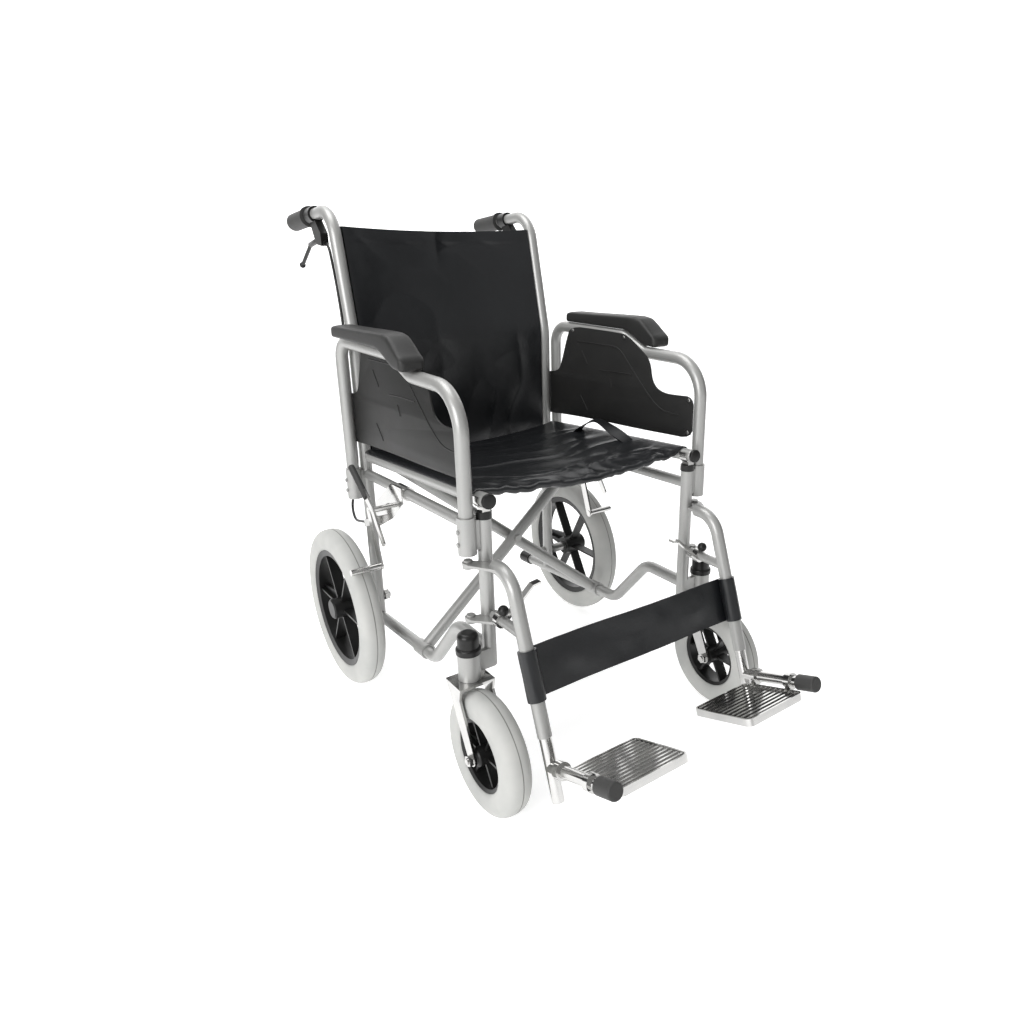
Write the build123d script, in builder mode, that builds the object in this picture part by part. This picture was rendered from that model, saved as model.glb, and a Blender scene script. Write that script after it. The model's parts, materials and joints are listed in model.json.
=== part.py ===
from build123d import *
import os
from math import atan2, cos, degrees, radians, sin, tan

os.makedirs("parts", exist_ok=True)

# A folding transport wheelchair, in millimetres.
# It faces -Y. X runs across it, with +X on the occupant's left, and Z is up.
# Forward distances are counted from the rear axle, and back distances the other way.

# Side frame
frame_half_width = 208
post_forward = 453
tube_diameter = 22
tube_wall = 1.5
mid_rail_diameter = 19
post_bottom = 215
post_top = 460
mid_rail_rear_height = 419
mid_rail_front_height = 436
lower_rail_height = 114.5
tipping_reach = 102
dip_forward = 255
dip_radius = 45
crest_forward = 352
crest_height = 240
crest_radius = 45

# Back canes and push handles
cane_bend_height = 666
handle_corner_back = 52
handle_corner_height = 898
cane_bend_radius = 120
handle_corner_radius = 55
handle_drop = 6
grip_tail = 211
grip_length = 96
grip_diameter = 33
grip_end_wall = 4

# Fold: both braces, the seat rails and the lower rails share one tilted direction
fold_tilt = 4
seat_rail_front_height = 488.4
brace_forward = 182
brace_spacing = 23
brace_sleeve_length = 36
brace_sleeve_wall = 3
brace_bolt_diameter = 8
seat_rail_front_overhang = 15
seat_rail_rear_forward = 28

# Wheels
rear_wheel_radius = 156.5
rear_wheel_half_track = 277
rear_tyre_width = 44
rear_rim_radius = 117
rear_axle_diameter = 12
caster_radius = 100
caster_half_track = 248.5
caster_tyre_width = 45
caster_rim_radius = 58.5
caster_trail = 50
caster_stem_forward = 460
caster_stem_diameter = 16
caster_axle_diameter = 10
housing_diameter = 35
housing_bottom = 208
housing_top = 252
spoke_count = 6
fork_plate = 4
fork_side_gap = 4

# Armrests
armrest_half_width = 235.5
armrest_rear_forward = 4
armrest_front_forward = 450
armrest_top_height = 675
armrest_low_height = 650
armrest_slope_start = 238
armrest_slope_end = 300
armrest_rear_radius = 38
armrest_front_radius = 64
armrest_slope_radius = 34
armrest_insertion = 52
socket_diameter = 28
socket_length = 58
front_socket_bottom = 408
rear_socket_bottom = 377
pad_rear_forward = 50
pad_front_forward = 362
pad_width = 44
pad_thickness = 26
panel_thickness = 4
panel_bottom_rear = 489
panel_bottom_front = 511

# Leg rests
rake = 19.5
rake_forward = 593
rake_height = 200
hanger_wall = 1.4
hanger_start_forward = 482
hanger_top_height = 392
hanger_radius = 45
hanger_end_height = 165
hanger_pin_half_width = 235
hanger_pin_forward = 448
hanger_pin_diameter = 8
hanger_plate = 4
upper_lug_top = 389.7
lower_lug_top = 299.7
strut_diameter = 16
strut_height = 308
strut_start_forward = 472
latch_forward = 492
latch_width = 12
latch_reach = 70
latch_rise = 42
stem_diameter = 19
stem_top_height = 287
stem_bottom_height = 72
foot_arm_height = 122
foot_arm_length = 150
knob_start = 123
knob_end = 159
knob_diameter = 26
plate_outer_edge = 16
plate_inner_edge = 145
plate_rear_edge = 16
plate_front_edge = 142
plate_drop = 8
plate_rim_depth = 12
plate_skin = 4
rib_count = 11
rib_width = 4

# Wheel locks
lock_clamp_forward = 170
shoe_pivot_forward = 84
shoe_pivot_height = 372
shoe_forward = 118
shoe_height = 275
shoe_diameter = 12
lever_pivot_forward = 122
lever_pivot_height = 388
lock_grip_tip_forward = 34
lock_grip_tip_height = 449
lock_tail_forward = 160
lock_tail_height = 335
lock_stud_diameter = 8

# Hand brakes
brake_ring_at = 94
brake_ring_length = 26
brake_pivot_ahead = 22
brake_pivot_below = 42
brake_lever_thickness = 5.4
brake_cable_diameter = 5

# Soft goods
sling_thickness = 3
seat_sag = 14
seat_front_forward = 442
seat_rear_forward = 32
back_sling_bottom = 478
back_sling_top = 868
back_sag = 20
strap_height = 76
strap_centre_height = 252
strap_thickness = 3

# Clearances
running_gap = 0.1
hinge_gap = 0.05
side_gap = 0.3

# Worked out from the sizes above
tube_radius = tube_diameter / 2
tube_bore = tube_radius - tube_wall
tilt = radians(fold_tilt)
rake_angle = radians(rake)
handle_angle = radians(handle_drop)
seat_rail_radius = tube_radius
stem_radius = stem_diameter / 2
seat_base_height = seat_rail_front_height - post_forward * tan(tilt)
fold_rise = seat_base_height - lower_rail_height
brace_half_height = fold_rise * cos(tilt) / 2
brace_height = lower_rail_height + fold_rise / 2 + brace_forward * tan(tilt)


def rake_forward_at(height):
    return rake_forward - (height - rake_height) * tan(rake_angle)


foot_arm_forward = rake_forward_at(foot_arm_height)
front_reach = foot_arm_forward + knob_end * cos(rake_angle) + knob_diameter / 2 * sin(rake_angle)
rear_reach = handle_corner_back + grip_tail * cos(handle_angle) + grip_diameter / 2 * sin(handle_angle)
# The middle of the chair's length lies at Y = 0
axle_y = (front_reach - rear_reach) / 2


def y_at(forward):
    return axle_y - forward


def side_point(forward, height, half_width=frame_half_width):
    return (half_width, y_at(forward), height)


# Local x runs across, local y is the rise of the fold and local z runs forward along the rails
fold_plane = Plane(
    origin=(0, y_at(brace_forward), brace_height),
    x_dir=(1, 0, 0),
    z_dir=(0, -cos(tilt), sin(tilt)),
)
# Local x runs inboard, local y forward along the foot arm and local z up the leg
foot_plane = Plane(
    origin=side_point(foot_arm_forward, foot_arm_height),
    x_dir=(-1, 0, 0),
    z_dir=(0, sin(rake_angle), cos(rake_angle)),
)
# Local z runs back along the push handle
handle_plane = Plane(
    origin=side_point(-handle_corner_back, handle_corner_height),
    x_dir=(1, 0, 0),
    z_dir=(0, cos(handle_angle), -sin(handle_angle)),
)


def along_fold(forward, rise):
    return (forward - brace_forward + rise * sin(tilt)) / cos(tilt)


def export_piece(piece, node):
    piece.label = node
    export_step(piece, f"parts/{node}.step")


def export_pair(left, node):
    export_piece(left, f"{node}_l")
    with BuildPart() as right:
        mirror(left, about=Plane.YZ)
    export_piece(right.part, f"{node}_r")


def bar(start, end, radius, bore=0, mode=Mode.ADD):
    span = Vector(*end) - Vector(*start)
    with BuildSketch(Plane(origin=start, z_dir=span)) as section:
        Circle(radius)
        if bore:
            Circle(bore, mode=Mode.SUBTRACT)
    extrude(to_extrude=section.sketch, amount=span.length, mode=mode)


def bent_tube(points, radii, diameter, wall):
    with BuildLine() as centre:
        FilletPolyline(*points, radius=radii)
    with BuildSketch(Plane(origin=centre.line @ 0, z_dir=centre.line % 0)) as section:
        Circle(diameter / 2)
        Circle(diameter / 2 - wall, mode=Mode.SUBTRACT)
    sweep(sections=section.sketch, path=centre.line)


def side_plate(outline, inner_face, thickness, holes=(), mode=Mode.ADD):
    # A flat plate whose outline is given as forward distances and heights
    with BuildSketch(Plane.YZ.offset(inner_face)) as flat:
        with BuildLine():
            Polyline(*[(y_at(forward), height) for forward, height in outline], close=True)
        make_face()
        for forward, height, radius in holes:
            with Locations((y_at(forward), height)):
                Circle(radius, mode=Mode.SUBTRACT)
    extrude(to_extrude=flat.sketch, amount=thickness, mode=mode)


def post_envelope(forward):
    bar(side_point(forward, post_bottom - tube_radius), side_point(forward, cane_bend_height), tube_radius,
        mode=Mode.SUBTRACT)


def lower_rail_point(forward):
    return side_point(forward, lower_rail_height + forward * tan(tilt))


def mid_rail_point(forward):
    rise = (mid_rail_front_height - mid_rail_rear_height) * forward / post_forward
    return side_point(forward, mid_rail_rear_height + rise)


# Side frame
def make_back_cane():
    with BuildPart() as cane:
        bent_tube(
            [
                lower_rail_point(0),
                side_point(0, cane_bend_height),
                side_point(-handle_corner_back, handle_corner_height),
                handle_plane.from_local_coords(Vector(0, 0, grip_tail - grip_end_wall - side_gap)),
            ],
            [cane_bend_radius, handle_corner_radius],
            tube_diameter,
            tube_wall,
        )
        # The foot of the cane is saddled on the lower rail
        bar(lower_rail_point(-40), lower_rail_point(40), tube_radius, mode=Mode.SUBTRACT)
        # Axle hole
        bar(
            (frame_half_width - tube_diameter, axle_y, rear_wheel_radius),
            (frame_half_width + tube_diameter, axle_y, rear_wheel_radius),
            rear_axle_diameter / 2 + hinge_gap,
            mode=Mode.SUBTRACT,
        )
    return cane.part


def make_front_post():
    lug_radius = 8.5
    lug_thickness = 5
    web_thickness = 8
    head_radius = 6.5
    head_height = 3
    web_margin = 4
    with BuildPart() as post:
        bar(side_point(post_forward, post_bottom), side_point(post_forward, post_top), tube_radius)
        bar(
            (caster_half_track, y_at(caster_stem_forward), housing_bottom),
            (caster_half_track, y_at(caster_stem_forward), housing_top),
            housing_diameter / 2,
        )
        # Web between the post and the caster housing
        with BuildSketch(Plane.XY.offset(post_bottom)) as web:
            with Locations(((frame_half_width + caster_half_track) / 2, y_at(caster_stem_forward))):
                Rectangle(caster_half_track - frame_half_width, web_thickness)
        extrude(to_extrude=web.sketch, amount=housing_top - web_margin - post_bottom)
        # Lugs with the pins that the leg rest hangs on
        for lug_top in (upper_lug_top, lower_lug_top):
            with BuildSketch(Plane.XY.offset(lug_top - lug_thickness)) as lug:
                with BuildLine():
                    Polyline(
                        (frame_half_width, y_at(post_forward - lug_radius)),
                        (hanger_pin_half_width, y_at(hanger_pin_forward - lug_radius)),
                        (hanger_pin_half_width, y_at(hanger_pin_forward + lug_radius)),
                        (frame_half_width, y_at(post_forward + lug_radius)),
                        close=True,
                    )
                make_face()
                with Locations((hanger_pin_half_width, y_at(hanger_pin_forward))):
                    Circle(lug_radius)
            extrude(to_extrude=lug.sketch, amount=lug_thickness)
            pin_top = lug_top + side_gap + hanger_plate + side_gap
            pin_foot = (hanger_pin_half_width, y_at(hanger_pin_forward), lug_top - lug_thickness)
            pin_neck = (hanger_pin_half_width, y_at(hanger_pin_forward), pin_top)
            pin_head = (hanger_pin_half_width, y_at(hanger_pin_forward), pin_top + head_height)
            bar(pin_foot, pin_head, hanger_pin_diameter / 2)
            bar(pin_neck, pin_head, head_radius)
        bar(side_point(post_forward, post_bottom), side_point(post_forward, post_top), tube_bore,
            mode=Mode.SUBTRACT)
        bar(
            (caster_half_track, y_at(caster_stem_forward), housing_bottom),
            (caster_half_track, y_at(caster_stem_forward), housing_top),
            caster_stem_diameter / 2 + hinge_gap,
            mode=Mode.SUBTRACT,
        )
    return post.part


def make_side_rails():
    with BuildPart() as rails:
        bent_tube(
            [
                lower_rail_point(-tipping_reach),
                lower_rail_point(dip_forward),
                side_point(crest_forward, crest_height),
                side_point(post_forward, crest_height),
            ],
            [dip_radius, crest_radius],
            tube_diameter,
            tube_wall,
        )
        bar(mid_rail_point(0), mid_rail_point(post_forward), mid_rail_diameter / 2,
            mid_rail_diameter / 2 - tube_wall)
        # Both rails are coped where they meet the post, and the mid rail where it meets the cane
        post_envelope(post_forward)
        bar(side_point(0, mid_rail_rear_height - tube_diameter),
            side_point(0, mid_rail_rear_height + tube_diameter), tube_radius, mode=Mode.SUBTRACT)
    return rails.part


def make_armrest_sockets():
    plate_depth = 12
    plate_inset = 6
    screw_radius = 3.5
    screw_height = 2.5
    screw_rise = (17, 37)
    places = (
        (armrest_front_forward, post_forward, front_socket_bottom),
        (armrest_rear_forward, 0, rear_socket_bottom),
    )
    with BuildPart() as sockets:
        for forward, tube_forward, bottom in places:
            top = bottom + socket_length
            bar(side_point(forward, bottom, armrest_half_width), side_point(forward, top, armrest_half_width),
                socket_diameter / 2)
            # Weld plate to the upright
            with BuildSketch(Plane.XY.offset(bottom + plate_inset)) as plate:
                with Locations(((frame_half_width + armrest_half_width) / 2, y_at((forward + tube_forward) / 2))):
                    Rectangle(armrest_half_width - frame_half_width, plate_depth)
            extrude(to_extrude=plate.sketch, amount=socket_length - 2 * plate_inset)
            bar(side_point(tube_forward, bottom), side_point(tube_forward, top), tube_radius,
                mode=Mode.SUBTRACT)
            bar(mid_rail_point(0), mid_rail_point(post_forward), mid_rail_diameter / 2, mode=Mode.SUBTRACT)
            bar(
                side_point(forward, bottom, armrest_half_width),
                side_point(forward, top, armrest_half_width),
                tube_radius + running_gap,
                mode=Mode.SUBTRACT,
            )
            face = armrest_half_width + socket_diameter / 2
            for rise in screw_rise:
                bar((face - 1, y_at(forward), bottom + rise), (face + screw_height, y_at(forward), bottom + rise),
                    screw_radius)
    return sockets.part


def make_frame_plugs():
    collar_height = 11
    collar_radius = 12.5
    cap_length = 36
    cap_wall = 3
    base_radius = 19.5
    base_height = 10
    dome_radius = 16.5
    dome_height = 25
    dome_round = 9
    base_round = 3
    with BuildPart() as post_collar:
        bar(side_point(post_forward, post_top), side_point(post_forward, post_top + collar_height), collar_radius)
    with BuildPart() as tipping_cap:
        tail = Vector(*lower_rail_point(-tipping_reach - cap_wall))
        nose = Vector(*lower_rail_point(-tipping_reach - cap_wall + cap_length))
        bar(tuple(tail), tuple(nose), tube_radius + cap_wall)
        fillet(tipping_cap.edges().group_by(Axis.Y)[-1], cap_wall - 0.5)
        bar(lower_rail_point(-tipping_reach), lower_rail_point(0), tube_radius, mode=Mode.SUBTRACT)
    with BuildPart() as housing_cap:
        bar(
            (caster_half_track, y_at(caster_stem_forward), housing_top),
            (caster_half_track, y_at(caster_stem_forward), housing_top + base_height),
            base_radius,
        )
        fillet(housing_cap.edges().group_by(Axis.Z)[-1], base_round)
        bar(
            (caster_half_track, y_at(caster_stem_forward), housing_top + base_height),
            (caster_half_track, y_at(caster_stem_forward), housing_top + base_height + dome_height),
            dome_radius,
        )
        fillet(housing_cap.edges().group_by(Axis.Z)[-1], dome_round)
    with BuildPart() as plugs:
        add(post_collar.part)
        add(tipping_cap.part)
        add(housing_cap.part)
    return plugs.part


def make_push_grip():
    flange_radius = 19
    flange_length = 5
    end_round = 5
    start = grip_tail - grip_length
    with BuildPart() as grip:
        with BuildSketch(handle_plane.offset(start)) as body:
            Circle(grip_diameter / 2)
        extrude(to_extrude=body.sketch, amount=grip_length)
        fillet(grip.edges().group_by(Axis.Y)[-1], end_round)
        with BuildSketch(handle_plane.offset(start)) as flange:
            Circle(flange_radius)
        extrude(to_extrude=flange.sketch, amount=flange_length)
        with BuildSketch(handle_plane.offset(start)) as bore:
            Circle(tube_radius)
        extrude(to_extrude=bore.sketch, amount=grip_length - grip_end_wall, mode=Mode.SUBTRACT)
    return grip.part


# Hand brake. Its pivot hangs below and ahead of the clamp ring.
ring_centre = handle_plane.from_local_coords(Vector(0, 0, brake_ring_at))
brake_pivot_y = ring_centre.Y - brake_pivot_ahead
brake_pivot_z = ring_centre.Z - brake_pivot_below
brake_slot = brake_lever_thickness + 2 * side_gap
brake_pin_radius = 2.5
cable_exit_ahead = 24
cable_exit_below = 8


def make_lever_clamp():
    ring_wall = 4
    body_width = 14
    cheek_radius = 10
    slot_above = 14
    slot_behind = 45
    slot_below = 20
    ferrule_radius = 4.5
    with BuildPart() as clamp:
        with BuildSketch(handle_plane.offset(brake_ring_at - brake_ring_length / 2)) as ring:
            Circle(tube_radius + ring_wall)
        extrude(to_extrude=ring.sketch, amount=brake_ring_length)
        with BuildSketch(Plane.YZ.offset(frame_half_width - body_width / 2)) as body:
            with BuildLine():
                Polyline(
                    (ring_centre.Y - brake_ring_length / 2, ring_centre.Z),
                    (ring_centre.Y + brake_ring_length / 2, ring_centre.Z),
                    (brake_pivot_y + cheek_radius, brake_pivot_z),
                    (brake_pivot_y, brake_pivot_z - cheek_radius),
                    (brake_pivot_y - cable_exit_ahead, brake_pivot_z - cable_exit_below - ferrule_radius),
                    (brake_pivot_y - cable_exit_ahead, brake_pivot_z + cheek_radius),
                    close=True,
                )
            make_face()
        extrude(to_extrude=body.sketch, amount=body_width)
        with BuildSketch(Plane.YZ.offset(frame_half_width - brake_slot / 2)) as slot:
            with BuildLine():
                Polyline(
                    (brake_pivot_y - cheek_radius, brake_pivot_z - slot_below),
                    (brake_pivot_y + slot_behind, brake_pivot_z - slot_below),
                    (brake_pivot_y + slot_behind, brake_pivot_z + slot_above),
                    (brake_pivot_y - cheek_radius, brake_pivot_z + slot_above),
                    close=True,
                )
            make_face()
        extrude(to_extrude=slot.sketch, amount=brake_slot, mode=Mode.SUBTRACT)
        bar(
            (frame_half_width - body_width / 2, brake_pivot_y, brake_pivot_z),
            (frame_half_width + body_width / 2, brake_pivot_y, brake_pivot_z),
            brake_pin_radius,
        )
        exit_y = brake_pivot_y - cable_exit_ahead
        exit_z = brake_pivot_z - cable_exit_below
        bar((frame_half_width, exit_y + 1, exit_z), (frame_half_width, exit_y - ferrule_length, exit_z),
            ferrule_radius)
        with BuildSketch(handle_plane.offset(brake_ring_at - brake_ring_length)) as bore:
            Circle(tube_radius)
        extrude(to_extrude=bore.sketch, amount=2 * brake_ring_length, mode=Mode.SUBTRACT)
    return clamp.part


def make_brake_lever():
    root_radius = 7
    arm_width = 10
    ball_radius = 6
    knee = (56, -11)
    tip = (118, -50)
    with BuildPart() as lever:
        with BuildSketch(Plane.YZ.offset(frame_half_width - brake_lever_thickness / 2)) as flat:
            with BuildLine() as centre:
                Polyline(
                    (brake_pivot_y, brake_pivot_z),
                    (brake_pivot_y + knee[0], brake_pivot_z + knee[1]),
                    (brake_pivot_y + tip[0], brake_pivot_z + tip[1]),
                )
            trace(line_width=arm_width)
            with Locations((brake_pivot_y, brake_pivot_z)):
                Circle(root_radius)
            with Locations((brake_pivot_y + knee[0], brake_pivot_z + knee[1])):
                Circle(arm_width / 2)
            with Locations((brake_pivot_y, brake_pivot_z)):
                Circle(brake_pin_radius + hinge_gap, mode=Mode.SUBTRACT)
        extrude(to_extrude=flat.sketch, amount=brake_lever_thickness)
        with Locations(Location((frame_half_width, brake_pivot_y + tip[0], brake_pivot_z + tip[1]), (0, 90, 0))):
            Sphere(ball_radius)
    return lever.part


# Route of the cable housing, from the lever body down behind the cane to the wheel lock
cable_stop_forward = 64
cable_stop_height = 345
cable_stop_half_width = 241
ferrule_length = 8
cable_gap = 0.2
ferrule_reach = cable_exit_ahead + ferrule_length + cable_gap
cable_route = [
    (frame_half_width, brake_pivot_y - ferrule_reach, brake_pivot_z - cable_exit_below),
    (frame_half_width + 3, brake_pivot_y - 52, brake_pivot_z - 17),
    (frame_half_width + 9, y_at(-38), brake_pivot_z - 66),
    (frame_half_width + 11, y_at(-15), 690),
    (frame_half_width + 11, y_at(-14), 432),
    (frame_half_width + 16, y_at(-30), 385),
    (frame_half_width + 26, y_at(-28), 350),
    (cable_stop_half_width, y_at(4), 331),
    (cable_stop_half_width, y_at(cable_stop_forward - cable_gap), cable_stop_height),
]


def cord_radii(route):
    radii = []
    for before, corner, after in zip(route, route[1:], route[2:]):
        inward = Vector(*corner) - Vector(*before)
        outward = Vector(*after) - Vector(*corner)
        turn = radians(inward.get_angle(outward))
        radii.append(0.45 * min(inward.length, outward.length) / tan(turn / 2))
    return radii


def make_brake_cable():
    radii = cord_radii(cable_route)
    print("cable radii", [round(radius, 1) for radius in radii])
    with BuildPart() as cable:
        with BuildLine() as centre:
            FilletPolyline(*cable_route, radius=radii)
        with BuildSketch(Plane(origin=centre.line @ 0, z_dir=centre.line % 0)) as section:
            Circle(brake_cable_diameter / 2)
        sweep(sections=section.sketch, path=centre.line)
    print("cable length", round(cable.part.volume / (3.14159265 * (brake_cable_diameter / 2) ** 2), 1))
    return cable.part


# Wheels
def wheel_plane(forward, height):
    return Plane(origin=(0, y_at(forward), height), x_dir=(1, 0, 0), z_dir=(0, -1, 0))


def make_tyre(forward, height, centre, width, radius, rim_radius, shoulder):
    with BuildPart() as tyre:
        with BuildSketch(wheel_plane(forward, height)) as section:
            with Locations((centre, (radius + rim_radius) / 2)):
                RectangleRounded(width, radius - rim_radius, shoulder)
        revolve(profiles=section.sketch, axis=Axis((0, y_at(forward), height), (1, 0, 0)))
    return tyre.part


def make_hub(forward, height, centre, rim_radius, rim_width, barrel, bore, blind_at):
    # barrel is its inboard face, outboard face and radius
    inboard, outboard, barrel_radius = barrel
    rim_depth = 0.1 * rim_radius
    spoke_root = 0.34 * barrel_radius + 0.12 * rim_radius
    spoke_tip = 0.13 * rim_radius
    web_thickness = 5
    rib_thickness = 4
    rib_depth = 0.6 * rim_width
    axis = Axis((0, y_at(forward), height), (1, 0, 0))
    with BuildPart() as hub:
        with BuildSketch(wheel_plane(forward, height)) as rim:
            with BuildLine():
                Polyline(
                    (centre - rim_width / 2 + 3, rim_radius - rim_depth),
                    (centre + rim_width / 2 - 3, rim_radius - rim_depth),
                    (centre + rim_width / 2, rim_radius),
                    (centre - rim_width / 2, rim_radius),
                    close=True,
                )
            make_face()
        revolve(profiles=rim.sketch, axis=axis)
        # Six tapered spokes, each with a stiffening rib on both sides
        spoke_plane = Plane(origin=(centre, y_at(forward), height), x_dir=(0, 1, 0), z_dir=(1, 0, 0))
        with BuildSketch(spoke_plane) as spokes:
            with PolarLocations(0, spoke_count):
                with BuildLine():
                    Polyline(
                        (barrel_radius * 0.6, -spoke_root),
                        (rim_radius - rim_depth / 2, -spoke_tip / 2),
                        (rim_radius - rim_depth / 2, spoke_tip / 2),
                        (barrel_radius * 0.6, spoke_root),
                        close=True,
                    )
                make_face()
        extrude(to_extrude=spokes.sketch, amount=web_thickness / 2, both=True)
        with BuildSketch(spoke_plane) as ribs:
            with PolarLocations(0, spoke_count):
                with Locations((rim_radius / 2, 0)):
                    Rectangle(rim_radius - rim_depth, rib_thickness)
        extrude(to_extrude=ribs.sketch, amount=rib_depth / 2, both=True)
        bar((inboard, y_at(forward), height), (outboard, y_at(forward), height), barrel_radius)
        chamfer(hub.edges().filter_by(GeomType.CIRCLE).group_by(Axis.X)[-1], 2.5)
        bar((inboard - 1, y_at(forward), height), (blind_at, y_at(forward), height), bore,
            mode=Mode.SUBTRACT)
    return hub.part


rear_hub_inboard = rear_wheel_half_track - rear_tyre_width / 2 - 2
rear_hub_outboard = rear_wheel_half_track + rear_tyre_width / 2 + 6
rear_axle_end = rear_hub_outboard - 6


def make_rear_axle():
    nut_flat = 19
    nut_thickness = 9
    spacer_radius = 10
    inner_face = frame_half_width - tube_radius - side_gap
    outer_face = frame_half_width + tube_radius + side_gap
    with BuildPart() as axle:
        bar((inner_face - nut_thickness - 3, axle_y, rear_wheel_radius), (rear_axle_end, axle_y, rear_wheel_radius),
            rear_axle_diameter / 2)
        bar((outer_face, axle_y, rear_wheel_radius), (rear_hub_inboard - side_gap, axle_y, rear_wheel_radius),
            spacer_radius)
        nut_plane = Plane(origin=(inner_face - nut_thickness, axle_y, rear_wheel_radius), z_dir=(1, 0, 0))
        with BuildSketch(nut_plane) as nut:
            RegularPolygon(nut_flat / 2, 6, major_radius=False)
        extrude(to_extrude=nut.sketch, amount=nut_thickness)
    return axle.part


caster_axle_forward = caster_stem_forward + caster_trail
fork_inner = caster_tyre_width / 2 + fork_side_gap
crown_top = housing_bottom - side_gap


def make_caster_fork():
    crown_rear = caster_stem_forward - 22
    crown_front = caster_stem_forward + 25
    eye_radius = 11
    neck_height = crown_top - 20
    washer_radius = 9
    washer_thickness = 2.2
    nut_flat = 16
    nut_thickness = 7
    leg_faces = (caster_half_track - fork_inner - fork_plate, caster_half_track + fork_inner)
    outline = [
        (crown_rear, crown_top),
        (crown_rear + 13, neck_height),
        (caster_axle_forward - 9.5, caster_radius - 5.5),
        (caster_axle_forward + 9.5, caster_radius + 5.5),
        (crown_front - 4, neck_height),
        (crown_front, crown_top),
    ]
    with BuildPart() as fork:
        for face in leg_faces:
            side_plate(outline, face, fork_plate)
            bar((face, y_at(caster_axle_forward), caster_radius), (face + fork_plate, y_at(caster_axle_forward), caster_radius),
                eye_radius)
        with BuildSketch(Plane.XY.offset(crown_top)) as crown:
            with Locations((caster_half_track, y_at((crown_rear + crown_front) / 2))):
                Rectangle(2 * (fork_inner + fork_plate), crown_front - crown_rear)
        extrude(to_extrude=crown.sketch, amount=-fork_plate)
        bar(
            (caster_half_track, y_at(caster_stem_forward), crown_top),
            (caster_half_track, y_at(caster_stem_forward), housing_top - side_gap),
            caster_stem_diameter / 2,
        )
        reach = fork_inner + fork_plate + nut_thickness
        bar(
            (caster_half_track - reach - 2, y_at(caster_axle_forward), caster_radius),
            (caster_half_track + reach + 2, y_at(caster_axle_forward), caster_radius),
            caster_axle_diameter / 2,
        )
        for start in (caster_half_track - reach, caster_half_track + reach - nut_thickness):
            nut_plane = Plane(origin=(start, y_at(caster_axle_forward), caster_radius), z_dir=(1, 0, 0))
            with BuildSketch(nut_plane) as nut:
                RegularPolygon(nut_flat / 2, 6, major_radius=False)
            extrude(to_extrude=nut.sketch, amount=nut_thickness)
        for start in (caster_half_track - fork_inner, caster_half_track + fork_inner - washer_thickness):
            bar((start, y_at(caster_axle_forward), caster_radius),
                (start + washer_thickness, y_at(caster_axle_forward), caster_radius), washer_radius)
    return fork.part


# Armrests
def make_armrest_frame():
    with BuildPart() as frame:
        bent_tube(
            [
                side_point(armrest_rear_forward, rear_socket_bottom + socket_length - armrest_insertion, armrest_half_width),
                side_point(armrest_rear_forward, armrest_top_height, armrest_half_width),
                side_point(armrest_slope_start, armrest_top_height, armrest_half_width),
                side_point(armrest_slope_end, armrest_low_height, armrest_half_width),
                side_point(armrest_front_forward, armrest_low_height, armrest_half_width),
                side_point(armrest_front_forward, front_socket_bottom + socket_length - armrest_insertion, armrest_half_width),
            ],
            [armrest_rear_radius, armrest_slope_radius, armrest_slope_radius, armrest_front_radius],
            tube_diameter,
            tube_wall,
        )
    return frame.part


def make_armrest_pad():
    top = armrest_top_height + tube_radius + side_gap
    low = armrest_low_height + tube_radius + side_gap
    top_round = 8
    rear_round = 14
    nose = 9
    shoulder_forward = armrest_slope_start + 50
    # The bottom follows the tube, and the lead keeps it clear of the tube's bends
    lead = 3
    outline = [
        (pad_rear_forward, top),
        (armrest_slope_start + lead, top),
        (armrest_slope_end + lead, low),
        (pad_front_forward - nose, low),
        (pad_front_forward, low + nose),
        (pad_front_forward, low + 2 * nose),
        (shoulder_forward, top + pad_thickness + 3),
        (pad_rear_forward, top + pad_thickness - 4),
    ]
    with BuildPart() as pad:
        side_plate(outline, armrest_half_width - pad_width / 2, pad_width)
        rear_edge = pad.edges().filter_by(Axis.X).group_by(Axis.Y)[-1].sort_by(Axis.Z)[-1]
        fillet(rear_edge, rear_round)
        upper = pad.edges().filter_by_position(Axis.Z, low + nose, top + 2 * pad_thickness)
        sides = [edge for edge in upper if edge.bounding_box().size.X < 0.1 and edge.center().Z > top + 8]
        fillet(sides, top_round)
    return pad.part


def make_side_panel():
    inner_face = armrest_half_width - panel_thickness
    rear = armrest_rear_forward + tube_radius + side_gap
    front = armrest_front_forward - tube_radius - side_gap
    top = armrest_top_height - tube_radius - side_gap
    low = armrest_low_height - tube_radius - side_gap
    tab_bottom = 481
    tab_top = 572
    tab_wall = 3
    tab_gap = 0.2
    outline = [
        (rear, panel_bottom_rear),
        (rear, tab_top),
        (rear + 5, tab_top + 18),
        (rear + 34, top),
        (armrest_slope_start - 4, top),
        (armrest_slope_end - 6, low + 1),
        (armrest_slope_end + 14, low - 12),
        (armrest_slope_end + 17, low - 30),
        (armrest_slope_end + 32, low - 48),
        (armrest_slope_end + 58, low - 57),
        (front, low - 54),
        (front, panel_bottom_front),
        (armrest_slope_end - 10, panel_bottom_rear + 13),
        (95, panel_bottom_rear + 5),
    ]
    with BuildPart() as panel:
        side_plate(outline, inner_face, panel_thickness)
        # Rear tab that clips round the inboard side of the tube
        with BuildSketch(Plane.XY.offset(tab_bottom)) as tab:
            with Locations((armrest_half_width, y_at(armrest_rear_forward))):
                Circle(tube_radius + tab_gap + tab_wall)
                Circle(tube_radius + tab_gap, mode=Mode.SUBTRACT)
            with Locations((armrest_half_width + socket_diameter / 2 + panel_thickness / 2 - tab_wall,
                            y_at(armrest_rear_forward))):
                Rectangle(socket_diameter, 2 * socket_diameter, mode=Mode.SUBTRACT)
        extrude(to_extrude=tab.sketch, amount=tab_top - tab_bottom)
    return panel.part


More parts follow.
